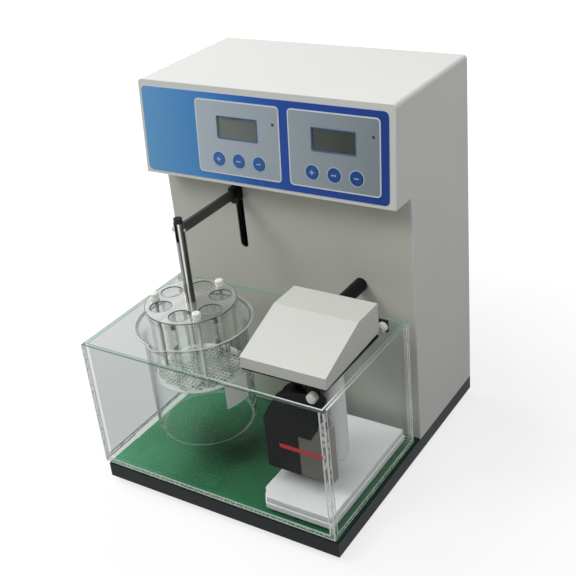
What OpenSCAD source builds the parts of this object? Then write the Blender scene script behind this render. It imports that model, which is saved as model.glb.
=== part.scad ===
// Tablet disintegration tester with one basket, a clear water bath and a two-window control head.
// X runs to the right, Y to the back and Z up. The origin is under the middle of the whole
// instrument, on the bench that it stands on. All sizes are in millimetres.

/* [Base] */
// Width over the cabinet's two side walls
cab_w = 286; // [260:1:320]
// Height of the folded base tray
base_h = 16; // [10:1:24]
// How far the base stops short of the cabinet's left side
base_inset = 8; // [0:1:12]
// Sheet thickness of the base tray
tray_t = 2; // [1.5:0.5:3]
// Height of a rubber foot below the base
foot_h = 6; // [4:1:12]
// Diameter of a rubber foot at the bench
foot_dia = 24; // [16:1:30]
// Distance of a foot's centre from the base's edges
foot_inset = 34; // [26:1:50]
// Thickness of the green mat on the base
mat_t = 1.5; // [1:0.5:3]

/* [Cabinet] */
// Height of the cabinet above the base
cab_h = 370; // [350:1:420]
// Depth of the column below the head
col_d = 130; // [122:1:145]
// Height of the head's front
head_h = 96; // [90:1:115]
// How far the head's lower front edge stands out from the column
head_out = 30; // [22:1:40]
// How far the head's front leans back over its height
head_lean = 8; // [0:1:14]
// Sheet thickness of the cabinet
sheet_t = 1.5; // [1:0.5:2.5]
// Radius of the cabinet's long upper edges
cab_edge_r = 4; // [2:0.5:8]

/* [Controls] */
// Width of each grey field on the control film
field_w = 94; // [80:1:98]
// Height of each grey field
field_h = 71; // [62:1:76]
// Distance from the middle of the left field to that of the right one
field_pitch = 105.9; // [102:0.1:109]
// Distance of the right field's middle from the cabinet's right side
field_side = 62.5; // [56:0.5:72]
// Width of a display window
lcd_w = 46; // [36:0.5:50]
// Height of a display window
lcd_h = 21.5; // [16:0.5:26]
// Diameter of a key
key_dia = 13; // [9:0.5:15]
// Distance between neighbouring keys
key_pitch = 23.4; // [18:0.1:25]
// How far a key moves when it is pressed
key_travel = 0.5; // [0.3:0.1:0.8]
// Thickness of the control film, and of the grey fields on it
film_t = 0.5; // [0.3:0.1:0.8]

/* [Drive] */
// Full travel of the basket, up and down
stroke = 55; // [50:1:57]
// Distance of the arm from the cabinet's middle, to the left
arm_off = 53; // [48:1:60]
// Distance of the basket's axis behind the base's front edge
basket_y = 75; // [73:1:84]
// Height of the arm bar
bar_h = 10; // [8:1:12]
// Thickness of the arm bar
bar_t = 3; // [2:0.5:4]
// Width of the slot that the arm runs in
slot_w = 9.5; // [8:0.5:12]
// Diameter of a guide rod
guide_dia = 8; // [6:1:10]
// Distance between the two guide rods
guide_pitch = 38; // [34:1:46]
// Length of the connecting rod between its two eyes
rod_len = 84; // [78:1:92]
// Diameter of the gear motor
motor_dia = 60; // [50:1:64]
// Length of the gear motor
motor_len = 56; // [45:1:58]

/* [Basket] */
// Diameter of the basket's plates
plate_dia = 92; // [88:1:92]
// Thickness of a clear plate
plate_t = 6; // [5:0.5:7]
// Thickness of the mirror-finished top disc
disc_t = 1; // [0.8:0.1:1.5]
// Length of a glass tube
tube_len = 77.5; // [75:0.5:80]
// Bore of a glass tube
tube_bore = 21.5; // [20.7:0.1:22.5]
// Wall of a glass tube
tube_wall = 2; // [1:0.1:2.2]
// Radius of the circle that the tubes stand on
tube_ring_r = 30; // [29:0.5:31]
// Diameter of the shaft that the basket hangs on
shaft_dia = 10; // [8:0.5:12]
// Length of that shaft above the top disc
shaft_len = 85; // [80:1:92]
// Square opening of the wire mesh
mesh_gap = 3.6; // [3:0.1:5]
// Wire thickness of the mesh
mesh_wire = 1; // [0.8:0.1:1.2]

/* [Water bath] */
// Outer width of the tank
tank_w = 279; // [262:1:290]
// Outer depth of the tank
tank_d = 164; // [158:1:180]
// Height of the tank
tank_h = 144; // [130:1:160]
// Thickness of the tank's walls and floor
tank_t = 5; // [4:0.5:6]
// Gap between the base's front edge and the tank
tank_gap = 1; // [1:0.5:4]
// Gap between the tank and the column behind it
back_gap = 9; // [6:1:20]
// Outer diameter of the beaker
beaker_dia = 104; // [100:1:108]
// Height of the beaker
beaker_h = 121; // [116:1:130]
// Wall of the beaker
beaker_t = 2; // [1.5:0.1:3]
// Outer diameter of the beaker's flared rim
rim_dia = 120; // [112:1:122]
// Height of the clear shelf under the beaker
shelf_h = 27; // [20:1:32]
// Thickness of the clear shelf
shelf_t = 3; // [2:0.5:5]
// Thickness of the white foam mat on the tank's floor
foam_t = 14; // [8:1:16]

/* [Heater] */
// Width of the heater's cover
cover_w = 91; // [80:1:95]
// Depth of the heater's cover
cover_d = 100; // [92:1:108]
// Height of the cover at its back
cover_back_h = 34.5; // [30:0.5:42]
// Height of the cover's front lip
cover_lip_h = 11.5; // [8:0.5:16]
// Depth of the flat strip on top of the cover, at its back
cover_flat = 37; // [24:1:48]
// Gap between the cover's right side and the tank's inner wall
cover_side_gap = 5.3; // [4.5:0.1:12]
// Distance of the cover's front behind the base's front edge
cover_y = 24.6; // [22:0.1:30]
// Clearance between the tank's rim and the cover
cover_gap = 6.4; // [2:0.1:8]
// Diameter of the conduit between the column and the cover
conduit_dia = 14; // [10:1:18]
// Diameter of the white heater tube
heater_dia = 28; // [20:1:30]
// Length of the white heater tube
heater_len = 98; // [90:1:112]

/* [Hidden] */

$fn = 64;
slack = 0.3;            // clearance between pieces that are put together
fit = 0.05;             // radial clearance of a rod in its hole
eps = 0.01;             // overshoot of a cut
lay = 0.1;              // air under a clear piece that lies loose on another

// Levels, from the bench up
base_z = foot_h;
base_top = base_z + base_h;
mat_top = base_top + mat_t;
cab_top = base_top + cab_h;
head_z = cab_top - head_h;

// Places from front to back. What stands out behind the cabinet is as deep as rear_proud.
rear_proud = 3;
base_d = tank_gap + tank_d + back_gap + col_d;
front_y = -(base_d + rear_proud) / 2;
back_y = front_y + base_d;
col_y = back_y - col_d;
head_y = col_y - head_out;
lean_a = atan(head_lean / head_h);
face_l = sqrt(head_lean * head_lean + head_h * head_h);

// The base, which is flush with the cabinet's right side
base_x0 = -cab_w / 2 + base_inset;
base_x1 = cab_w / 2;
foot_xs = [base_x0 + foot_inset, base_x1 - foot_inset];
foot_ys = [front_y + foot_inset, back_y - foot_inset];
foot_top_dia = foot_dia - 4;
foot_screw_dia = 4;
foot_hole_dia = foot_screw_dia + 0.5;
foot_recess_dia = 10;
foot_recess_h = 3;

// Inner faces of the cabinet
in_x = cab_w / 2 - sheet_t;
in_front = col_y + sheet_t;
in_back = back_y - sheet_t;

// Control head: s is measured up the leaning face, from its lower edge
film_l = 3.5;
film_r = 6.5;
film_s0 = 3.5;
film_s1 = face_l - 6.4;
film_corner = 5;
field_corner = 3;
field_s = 47;
key_s = 25.5;
lcd_s = 57.4;
led_s = 65.7;
led_off = 41;
led_dia = 3;
field_xs = [cab_w / 2 - field_side - field_pitch, cab_w / 2 - field_side];
field_x = (field_xs[0] + field_xs[1]) / 2;
key_hole = key_dia + 2 * slack;
key_proud = 0.8;
key_collar_t = 1;
key_stem_dia = 4;
board_gap = 9;          // from the back of the fascia to the display board
board_t = 1.6;
lcd_depth = 6;
touch_h = 3.8;          // height of a key's switch over the board

// Drive
arm_x = -arm_off;
tank_z = mat_top + lay;
tank_floor = tank_z + tank_t;
shelf_z = tank_floor + lay;
shelf_top = shelf_z + shelf_h;
lift_over_rim = 21.1;   // height of the top disc over the beaker's rim, at the top of the stroke
beaker_z = shelf_top + lay;
disc_top = beaker_z + beaker_h + lift_over_rim;
bar_z = disc_top + shaft_len - 8;
basket_cy = front_y + basket_y;
block_w = 58;
block_d = 20;
block_h = 26;
guide_y = in_front + 15;
block_front = guide_y - block_d / 2;
block_back = guide_y + block_d / 2;
bush_dia = guide_dia + 5;
rod_t = 4;
rod_y = block_back + 1;
pin_dia = 8;
crank_y = rod_y + rod_t + 6.5;
crank_t = 6;
crank_r = stroke / 2;
crank_disc_dia = stroke + 18;
crank_z = bar_z - rod_len - crank_r;
shaft_out_dia = 10;
boss_dia = 20;
motor_screw_r = 22;
frame_t = 3;
frame_foot = 26;        // depth of the flange that stands on the base
frame_y = crank_y + crank_t + 6;
frame_w = guide_pitch + 36;
frame_top = bar_z + 52;
lug_z = crank_z - crank_disc_dia / 2 - 16;
slot_end_gap = 4.6;     // from the arm at its lowest to the slot's lower end
slot_bottom = bar_z - bar_h / 2 - stroke - slot_end_gap;
slot_top = bar_z + bar_h / 2 + 3;
slot_block_w = slot_w + 2;
slot_block_h = 17.5;
slot_block_d = 9;

// Basket
tube_dia = tube_bore + 2 * tube_wall;
tube_hole = tube_dia + 0.5;
disc_hole = tube_bore + 0.5;
plate_z = disc_top - disc_t - plate_t;
tube_z = disc_top - disc_t - tube_len;
mesh_t = 0.8;
post_ring_r = plate_dia / 2 - 8;
post_dia = 4;
cap_dia = 9;
cap_h = 7;
collar_h = 1.5;
tube_a = 46;            // turn of the first tube about the basket's axis
post_a = tube_a + 30;

// Water bath
tank_y = front_y + tank_gap;
tank_top = tank_z + tank_h;
tank_in_x = tank_w / 2 - tank_t;
shelf_w = beaker_dia + 8;
rim_flare_h = 12;
rim_bead_r = 1.3;
beaker_heel_r = 8;
spout_reach = 5.5;      // how far the spout stands out beyond the rim
spout_r = 17;
spout_foot_r = 5;
spout_h = 14;

// Heater
cover_x1 = tank_in_x - cover_side_gap;
cover_x0 = cover_x1 - cover_w;
cover_y0 = front_y + cover_y;
cover_y1 = cover_y0 + cover_d;
cover_z = tank_top + cover_gap;
cover_t = 1.5;
cover_rise = 4;         // how much higher the cover's lower edge is at its back
base_plate_t = 2;
base_step_h = 5;
heater_x = cover_x1 - 17.8;
heater_y = cover_y0 + 33;
heater_neck_dia = heater_dia - 8;
bracket_t = 4;
bracket_y = cover_y0 + 9;
bracket_x0 = cover_x0 + 11.6;
bracket_x1 = cover_x1 - 9;
bracket_z = tank_floor + foam_t + 16;
bracket_top = cover_z - 16;
bracket_tab_w = 14;
bracket_screw_x = bracket_x1 - 10.5;
bracket_screw_z = bracket_top - 1;
screw_hole = 4.2;
conduit_x = cover_x1 - 45;
conduit_z = cover_z + 20.5;
conduit_bore = conduit_dia - 3;
pump_w = 38;
pump_d = 56;
pump_h = 56;
guard_t = 1.2;
guard_w = 33.5;
guard_low_h = 44;
guard_high_h = 62;
guard_fold = 10;
screw_head = 10;
tab_t = 3;
tab_w = 18;
tab_h = 12;
tab_x = cover_x1 - 14.5;
tab_y = cover_y1 + 10;
tab_z = cover_z - base_plate_t;
tab_screw_x = tab_x + tab_w - 4.5;
tab_screw_z = tab_z + 6;

// Back of the cabinet
inlet_x = 92;
inlet_z = base_top + 34;
switch_pitch = 46;
switch_x = inlet_x - switch_pitch;
inlet_w = 48;
inlet_h = 26;
inlet_body_w = 29;
inlet_body_h = 21;
switch_w = 22;
switch_h = 28;
switch_body_w = 18.4;
switch_body_h = 23.4;
rocker_y = back_y - 3;
rocker_pin_dia = 3;
rocker_pin_l = 17.6;
flange_w = 16;
rear_screw_dia = 3;
rear_screw_in = 18;     // from the cover's upper and lower edges
vent_x = 60;
vent_w = 60;
vent_h = 3.5;
vent_pitch = 9;
vent_z = base_top + cab_h * 0.57;

// ---- helpers ----

// A rectangle with round corners, about its middle
module rounded(w, h, r) {
    square([w - 2 * r, h], center = true);
    square([w, h - 2 * r], center = true);
    for (sx = [-1, 1], sy = [-1, 1])
        translate([sx * (w / 2 - r), sy * (h / 2 - r)]) circle(r);
}

// An upright slot with round ends, cut along Y
module y_slot(w, z0, z1, y0, y1) {
    translate([-w / 2, y0, z0 + w / 2]) cube([w, y1 - y0, z1 - z0 - w]);
    for (z = [z0 + w / 2, z1 - w / 2])
        translate([0, y0, z]) rotate([-90, 0, 0]) cylinder(h = y1 - y0, d = w);
}

// A cylinder along +Y from y0 to y1
module y_cyl(d, y0, y1) {
    translate([0, y0, 0]) rotate([-90, 0, 0]) cylinder(h = y1 - y0, d = d);
}

// Puts what is drawn in X and Z on the leaning face, s up from its lower edge; -Y points out
module on_face(x, s) {
    translate([x, head_y, head_z]) rotate([-lean_a, 0, 0]) translate([0, 0, s]) children();
}

// A flat piece on the leaning face, from y0 to y1 behind it
module face_plate(w, h, r, y0, y1) {
    translate([0, y1, 0]) rotate([90, 0, 0]) linear_extrude(y1 - y0) rounded(w, h, r);
}

// The side view of the cabinet, in Y and Z
module side_profile() {
    polygon([[col_y, base_top], [back_y, base_top], [back_y, cab_top],
        [head_y + head_lean, cab_top], [head_y, head_z], [col_y, head_z]]);
}

// Puts a Y and Z profile across X, from x0 to x1
module across(x0, x1) {
    translate([x0, 0, 0]) rotate([90, 0, 90]) linear_extrude(x1 - x0) children();
}

// The front view of the cabinet, an arch with round upper corners
module arch(w, top, r) {
    translate([-w / 2, 0]) square([w, top - r]);
    translate([-w / 2 + r, 0]) square([w - 2 * r, top]);
    for (sx = [-1, 1]) translate([sx * (w / 2 - r), top - r]) circle(r);
}

// What fits inside the folded shell, from front to back
module in_arch() {
    translate([0, back_y + 1, 0]) rotate([90, 0, 0]) linear_extrude(base_d + 2)
        arch(2 * in_x - 2 * fit, cab_top - sheet_t - fit, cab_edge_r - sheet_t);
}

// Copies children at each of the six tubes
module at_tubes() {
    for (k = [0:5]) rotate([0, 0, tube_a + 60 * k]) translate([tube_ring_r, 0, 0]) children();
}

// Copies children at each of the three posts
module at_posts() {
    for (k = [0:2]) rotate([0, 0, post_a + 120 * k]) translate([post_ring_r, 0, 0]) children();
}

// Puts children on the basket's axis
module at_basket() {
    translate([arm_x, basket_cy, 0]) children();
}

// Copies children at both guide rods
module at_guides() {
    for (s = [-1, 1]) translate([arm_x + s * guide_pitch / 2, guide_y, 0]) children();
}

// ---- base ----

module base_tray() {
    color([0.07, 0.08, 0.1]) difference() {
        translate([base_x0, front_y, base_z]) cube([base_x1 - base_x0, base_d, base_h]);
        translate([base_x0 + tray_t, front_y + tray_t, base_z - eps])
            cube([base_x1 - base_x0 - 2 * tray_t, base_d - 2 * tray_t, base_h - tray_t + eps]);
    }
    // a tapped boss over each foot carries the load from the tray's top to the foot
    color([0.07, 0.08, 0.1]) for (x = foot_xs, y = foot_ys) translate([x, y, base_z]) difference() {
        cylinder(h = base_h - tray_t + eps, d = foot_top_dia - 6);
        translate([0, 0, -eps]) cylinder(h = base_h - tray_t - 0.5, d = foot_screw_dia + 2 * fit);
    }
}

module feet() {
    color([0.06, 0.06, 0.06]) for (x = foot_xs, y = foot_ys) translate([x, y, 0]) difference() {
        rotate_extrude() polygon([[0, 0], [foot_dia / 2 - 1, 0], [foot_dia / 2, 1],
            [foot_top_dia / 2, foot_h], [0, foot_h]]);
        translate([0, 0, -eps]) cylinder(h = foot_h + 2 * eps, d = foot_hole_dia);
        translate([0, 0, -eps]) cylinder(h = foot_recess_h, d = foot_recess_dia);
    }
}

module foot_screws() {
    color([0.6, 0.6, 0.62]) for (x = foot_xs, y = foot_ys) translate([x, y, 0]) {
        translate([0, 0, foot_recess_h - 2.2]) cylinder(h = 2.2 - eps, d = 8);
        translate([0, 0, foot_recess_h - 0.1]) cylinder(h = base_h, d = foot_screw_dia);
    }
}

module base_mat() {
    edge = 0.8;
    color([0.06, 0.3, 0.17]) translate([base_x0 + edge, front_y + edge, base_top])
        cube([base_x1 - base_x0 - 2 * edge, base_d - col_d - 2 * edge, mat_t]);
}

// ---- cabinet ----

module cabinet_shell() {
    // the flanges that the rear cover is screwed to
    color([0.78, 0.79, 0.77]) for (s = [-1, 1]) difference() {
        translate([s > 0 ? in_x - flange_w : -in_x - eps, in_back - sheet_t, base_top])
            cube([flange_w + eps, sheet_t, cab_h - 2 * cab_edge_r]);
        for (p = rear_screw_at()) translate([p[0], 0, p[1]])
            y_cyl(rear_screw_dia + 2 * fit, in_back - sheet_t - 1, in_back + 1);
    }
    color([0.78, 0.79, 0.77]) difference() {
        intersection() {
            across(-cab_w / 2, cab_w / 2) side_profile();
            translate([0, back_y, 0]) rotate([90, 0, 0])
                linear_extrude(base_d) arch(cab_w, cab_top, cab_edge_r);
        }
        translate([0, back_y + eps, 0]) rotate([90, 0, 0]) linear_extrude(base_d + 2 * eps)
            arch(cab_w - 2 * sheet_t, cab_top - sheet_t, cab_edge_r - sheet_t);
    }
}

module front_panel() {
    w = 2 * in_x - 2 * fit;
    color([0.62, 0.63, 0.59]) difference() {
        union() {
            translate([-w / 2, col_y, base_top]) cube([w, sheet_t, head_z - base_top + sheet_t]);
            translate([-w / 2, head_y + sheet_t + slack, head_z])
                cube([w, head_out - sheet_t - slack + eps, sheet_t]);
            // the flange that the panel is screwed to the base by
            translate([-w / 2, col_y, base_top]) cube([w, flange_w, sheet_t]);
        }
        translate([arm_x, 0, 0]) y_slot(slot_w, slot_bottom, slot_top, col_y - 1, in_front + 1);
        translate([conduit_x, 0, conduit_z])
            y_cyl(conduit_dia + 2 * fit, col_y - 1, in_front + 1);
    }
}

module key_cuts(y0, y1) {
    for (x = field_xs, k = [-1:1]) on_face(x + k * key_pitch, key_s) y_cyl(key_hole, y0, y1);
}

module window_cuts(y0, y1, grow) {
    for (x = field_xs) on_face(x, lcd_s) face_plate(lcd_w + grow, lcd_h + grow, 1, y0, y1);
}

module led_cuts(y0, y1) {
    for (x = field_xs) on_face(x + led_off, led_s) y_cyl(led_dia + 0.2, y0, y1);
}

module head_fascia() {
    w = 2 * in_x - 2 * fit;
    color([0.78, 0.79, 0.77]) difference() {
        intersection() {
            on_face(0, 0) translate([-w / 2, 0, 0]) cube([w, sheet_t, face_l - sheet_t - fit]);
            in_arch();
        }
        key_cuts(-1, sheet_t + 1);
        window_cuts(-1, sheet_t + 1, 0);
        led_cuts(-1, sheet_t + 1);
    }
}

module control_film() {
    w = cab_w - film_l - film_r;
    color([0.12, 0.36, 0.72]) difference() {
        on_face((film_l - film_r) / 2, (film_s0 + film_s1) / 2)
            face_plate(w, film_s1 - film_s0, film_corner, -film_t, 0);
        key_cuts(-1, 1);
        window_cuts(-1, 1, 0);
        led_cuts(-1, 1);
    }
}

// Clear panes in the fields, over the displays
module windows() {
    color([0.6, 0.65, 0.6, 0.5]) for (x = field_xs)
        on_face(x, lcd_s) face_plate(lcd_w - 1, lcd_h - 1, 1, -2 * film_t, -film_t);
}

module field(x) {
    color([0.5, 0.54, 0.58]) difference() {
        on_face(x, field_s) face_plate(field_w, field_h, field_corner, -2 * film_t, -film_t);
        key_cuts(-2, 0);
        window_cuts(-2, 0, -1);
        led_cuts(-2, 0);
    }
}

module left_field() {
    field(field_xs[0]);
}

module right_field() {
    field(field_xs[1]);
}

module lcd(x) {
    color([0.25, 0.28, 0.22]) on_face(x, lcd_s) {
        face_plate(lcd_w - 2 * slack, lcd_h - 2 * slack, 1, 0.4, sheet_t + 0.2);
        face_plate(lcd_w + 10, lcd_h + 8, 1, sheet_t, sheet_t + lcd_depth);
        for (sx = [-1, 1]) translate([sx * (lcd_w / 2 + 3), 0, 0])
            y_cyl(3, sheet_t + lcd_depth, sheet_t + board_gap);
    }
}

module lcd_left() {
    lcd(field_xs[0]);
}

module lcd_right() {
    lcd(field_xs[1]);
}

// A key: its cap, and the stem that reaches the switch on the board behind
module key(x) {
    color([0.14, 0.3, 0.62]) on_face(x, key_s) {
        y_cyl(key_dia, -2 * film_t - key_proud, sheet_t + eps);
        y_cyl(key_dia + 3, sheet_t, sheet_t + key_collar_t);
        y_cyl(key_stem_dia, sheet_t, sheet_t + board_gap - touch_h - key_travel - 0.1);
    }
}

module key_left_1() {
    key(field_xs[0] - key_pitch);
}

module key_left_2() {
    key(field_xs[0]);
}

module key_left_3() {
    key(field_xs[0] + key_pitch);
}

module key_right_1() {
    key(field_xs[1] - key_pitch);
}

module key_right_2() {
    key(field_xs[1]);
}

module key_right_3() {
    key(field_xs[1] + key_pitch);
}

module indicator_leds() {
    color([0.16, 0.05, 0.05]) for (x = field_xs) on_face(x + led_off, led_s) {
        y_cyl(led_dia, -film_t, sheet_t + board_gap);
    }
}

module display_board() {
    w = field_pitch + field_w - 6;
    h = field_h - 8;
    color([0.1, 0.35, 0.2]) on_face(field_x, field_s) difference() {
        face_plate(w, h, 2, sheet_t + board_gap, sheet_t + board_gap + board_t);
        for (sx = [-1, 1], sz = [-1, 1]) translate([sx * (w / 2 - 5), 0, sz * (h / 2 - 5)])
            y_cyl(3.4, sheet_t + board_gap - 1, sheet_t + board_gap + board_t + 1);
    }
    // tactile switches under the keys, and standoffs at the corners
    color([0.15, 0.15, 0.16]) for (x = field_xs, k = [-1:1]) on_face(x + k * key_pitch, key_s) {
        face_plate(6, 6, 0.5, sheet_t + board_gap - touch_h + 0.6, sheet_t + board_gap);
        y_cyl(3.4, sheet_t + board_gap - touch_h, sheet_t + board_gap - touch_h + 0.7);
    }
    color([0.75, 0.75, 0.7]) on_face(field_x, field_s)
        for (sx = [-1, 1], sz = [-1, 1]) translate([sx * (w / 2 - 5), 0, sz * (h / 2 - 5)])
            y_cyl(6, sheet_t, sheet_t + board_gap);
}

// ---- back and electrics ----

module rear_cover() {
    w = 2 * in_x - 2 * fit;
    slots = 9;
    color([0.74, 0.75, 0.73]) difference() {
        intersection() {
            translate([-w / 2, in_back, base_top]) cube([w, sheet_t, cab_h]);
            in_arch();
        }
        for (x = [-vent_x, vent_x], k = [0:slots - 1])
            translate([x - vent_w / 2, in_back - 1, vent_z + vent_pitch * k])
                cube([vent_w, sheet_t + 2, vent_h]);
        translate([inlet_x, 0, inlet_z])
            face_plate(inlet_body_w + 1, inlet_body_h + 1, 3, in_back - 1, back_y + 1);
        translate([switch_x, 0, inlet_z])
            face_plate(switch_body_w + 1, switch_body_h + 1, 1, in_back - 1, back_y + 1);
        for (p = rear_screw_at()) translate([p[0], 0, p[1]])
            y_cyl(rear_screw_dia + 0.4, in_back - 1, back_y + 1);
    }
}

function rear_screw_at() = [for (sx = [-1, 1],
    z = [base_top + rear_screw_in, (base_top + cab_top) / 2, cab_top - rear_screw_in])
    [sx * (in_x - flange_w / 2), z]];

module rear_screws() {
    color([0.7, 0.7, 0.72]) for (p = rear_screw_at()) translate([p[0], 0, p[1]]) {
        y_cyl(rear_screw_dia, in_back - 8, back_y + 0.5);
        y_cyl(6.5, back_y, back_y + 2);
    }
}

module power_inlet() {
    color([0.08, 0.08, 0.09]) translate([inlet_x, 0, inlet_z]) difference() {
        union() {
            face_plate(inlet_w, inlet_h, 4, back_y, back_y + rear_proud);
            face_plate(inlet_body_w, inlet_body_h, 3, in_back - 24, back_y + eps);
        }
        face_plate(24.5, 16.5, 3, back_y - 17, back_y + rear_proud + 1);
    }
    // three contact blades
    color([0.75, 0.68, 0.4]) for (p = [[-7, 0], [0, 3.5], [7, 0]])
        translate([inlet_x + p[0] - 1, back_y - 17, inlet_z + p[1] - 2]) cube([2, 14, 4]);
}

module switch_housing() {
    color([0.08, 0.08, 0.09]) translate([switch_x, 0, inlet_z]) difference() {
        union() {
            face_plate(switch_w, switch_h, 1.5, back_y, back_y + 2);
            face_plate(switch_body_w, switch_body_h, 1, in_back - 20, back_y + eps);
        }
        face_plate(switch_body_w - 2.4, switch_body_h - 2.4, 1, back_y - 12, back_y + 3);
        translate([0, rocker_y, 0]) rotate([0, 90, 0])
            cylinder(h = rocker_pin_l + 0.1, d = rocker_pin_dia + 2 * fit, center = true);
    }
}

module power_rocker() {
    color([0.1, 0.1, 0.11]) translate([switch_x, rocker_y, inlet_z]) {
        across(-7.6, 7.6) polygon([[-3, -6], [-3, 6], [1.6, 9.4], [3.6, 9.4], [3.2, 0],
            [5.4, -9.4], [1.6, -9.4]]);
        rotate([0, 90, 0]) cylinder(h = rocker_pin_l, d = rocker_pin_dia, center = true);
    }
}

module control_board() {
    w = 96;
    d = 62;
    post_h = 8;
    bx = in_x - 20 - w;
    by = in_back - 10 - d;
    top = base_top + post_h + board_t;
    color([0.1, 0.35, 0.2]) translate([bx, by, base_top + post_h]) cube([w, d, board_t]);
    color([0.75, 0.75, 0.7]) for (x = [bx + 5, bx + w - 5], y = [by + 5, by + d - 5])
        translate([x, y, base_top]) cylinder(h = post_h + eps, d = 6);
    // relay, terminal block, capacitors and processor
    color([0.1, 0.2, 0.5]) translate([bx + 8, by + 8, top]) cube([19, 15, 15]);
    color([0.15, 0.5, 0.25]) translate([bx + 60, by + 44, top]) cube([30, 9, 11]);
    color([0.15, 0.15, 0.2]) for (k = [0:2]) translate([bx + 40 + 13 * k, by + 16, top - eps])
        cylinder(h = 16.4, d = 10);
    color([0.08, 0.08, 0.08]) translate([bx + 38, by + 38, top]) cube([14, 14, 3]);
}

module transformer() {
    core = [56, 30, 48];    // the sizes of the core, the coil and a lug, along X, Y and Z
    coil = [36, 48, 28];
    lug = [16, 16, 2];
    gap = 16;               // from the coil to the rear cover
    tx = arm_x - 17;
    ty = in_back - coil[1] / 2 - gap;
    color([0.35, 0.35, 0.37]) translate([tx - core[0] / 2, ty - core[1] / 2, base_top]) cube(core);
    color([0.75, 0.6, 0.3])
        translate([tx - coil[0] / 2, ty - coil[1] / 2, base_top + (core[2] - coil[2]) / 2]) cube(coil);
    color([0.35, 0.35, 0.37]) for (s = [-1, 1])
        translate([tx + s * (core[0] + lug[0] - 4) / 2, ty, base_top]) difference() {
            translate([-lug[0] / 2, -lug[1] / 2, 0]) cube(lug);
            translate([0, 0, -eps]) cylinder(h = lug[2] + 1, d = foot_hole_dia);
        }
}

// ---- drive ----

module drive_frame() {
    x0 = arm_x - frame_w / 2;
    lug_y = guide_y - 9;
    color([0.55, 0.56, 0.58]) difference() {
        union() {
            translate([x0, frame_y, base_top]) cube([frame_w, frame_t, frame_top - base_top]);
            translate([x0, frame_y - frame_foot, base_top])
                cube([frame_w, frame_foot + eps, frame_t]);
            for (z = [lug_z, frame_top - frame_t])
                translate([x0, lug_y, z]) cube([frame_w, frame_y - lug_y + eps, frame_t]);
        }
        at_guides() translate([0, 0, base_top])
            cylinder(h = frame_top, d = guide_dia + 2 * fit);
        translate([arm_x, 0, crank_z]) y_cyl(boss_dia + 4, frame_y - 1, frame_y + frame_t + 1);
        for (s = [-1, 1]) translate([arm_x + s * motor_screw_r, 0, crank_z])
            y_cyl(screw_hole, frame_y - 1, frame_y + frame_t + 1);
        for (s = [-1, 1]) translate([arm_x + s * 26, frame_y - frame_foot / 2, base_top - 1])
            cylinder(h = frame_t + 2, d = 5);
    }
}

module guide_rods() {
    color([0.82, 0.83, 0.85]) at_guides() translate([0, 0, lug_z - 2])
        cylinder(h = frame_top + 4 - lug_z, d = guide_dia);
}

module gear_motor() {
    y1 = frame_y + frame_t;
    gearbox_l = 22;
    color([0.5, 0.52, 0.5]) translate([arm_x, 0, crank_z]) {
        y_cyl(motor_dia, y1, y1 + gearbox_l);
        y_cyl(motor_dia - 8, y1 + gearbox_l - eps, y1 + motor_len);
        y_cyl(boss_dia, frame_y - 2, y1 + eps);
        y_cyl(shaft_out_dia, crank_y + 1, frame_y);
    }
    // the two screws that hold it to the frame
    color([0.7, 0.7, 0.72]) for (s = [-1, 1]) translate([arm_x + s * motor_screw_r, 0, crank_z]) {
        y_cyl(4, frame_y - 0.5, y1 + eps);
        y_cyl(7, frame_y - 3, frame_y);
    }
}

// The crank disc with its hub and the crank pin, which stands clear of the rod's eye
module crank() {
    color([0.72, 0.73, 0.75]) translate([arm_x, 0, crank_z]) difference() {
        union() {
            y_cyl(crank_disc_dia, crank_y, crank_y + crank_t);
            y_cyl(22, crank_y + crank_t - eps, frame_y - 3.5);
            translate([0, 0, crank_r]) y_cyl(pin_dia, rod_y + rod_t + 0.4, crank_y + eps);
        }
        y_cyl(shaft_out_dia + 2 * fit, crank_y + 0.5, frame_y);
        for (a = [60:60:300]) rotate([0, a, 0]) translate([0, 0, crank_disc_dia / 2 - 14])
            y_cyl(12, crank_y - 1, crank_y + crank_t + 1);
    }
}

module connecting_rod() {
    eye = 18;
    color([0.68, 0.69, 0.72]) translate([arm_x, 0, bar_z]) difference() {
        union() {
            y_cyl(eye, rod_y, rod_y + rod_t);
            translate([0, 0, -rod_len]) y_cyl(eye, rod_y, rod_y + rod_t);
            translate([-5, rod_y, -rod_len]) cube([10, rod_t, rod_len]);
        }
        y_cyl(pin_dia + 2 * fit, rod_y - 1, rod_y + rod_t + 1);
        translate([0, 0, -rod_len]) y_cyl(pin_dia + 2 * fit, rod_y - 1, rod_y + rod_t + 1);
    }
}

module slider_block() {
    color([0.7, 0.71, 0.72]) difference() {
        translate([arm_x - block_w / 2, block_front, bar_z - block_h / 2])
            cube([block_w, block_d, block_h]);
        at_guides() translate([0, 0, bar_z - block_h]) cylinder(h = 2 * block_h, d = bush_dia);
        translate([arm_x - bar_t / 2 - fit, block_front - 1, bar_z - bar_h / 2 - fit])
            cube([bar_t + 2 * fit, 13, bar_h + 2 * fit]);
        translate([arm_x, 0, bar_z]) y_cyl(5, block_back - 7, block_back + 1);
    }
}

module slider_bushes() {
    color([0.75, 0.58, 0.28]) at_guides() translate([0, 0, bar_z - block_h / 2 - 2]) difference() {
        union() {
            cylinder(h = block_h + 2, d = bush_dia - 2 * fit);
            cylinder(h = 2, d = bush_dia + 4);
        }
        translate([0, 0, -1]) cylinder(h = block_h + 4, d = guide_dia + 0.1);
    }
}

module slider_pin() {
    color([0.8, 0.8, 0.82]) translate([arm_x, 0, bar_z]) {
        y_cyl(5 - 2 * fit, block_back - 6, block_back + 0.5);
        y_cyl(pin_dia, block_back, rod_y + rod_t + 0.3);
        y_cyl(11, rod_y + rod_t + 0.25, rod_y + rod_t + 2.25);
    }
}

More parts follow.
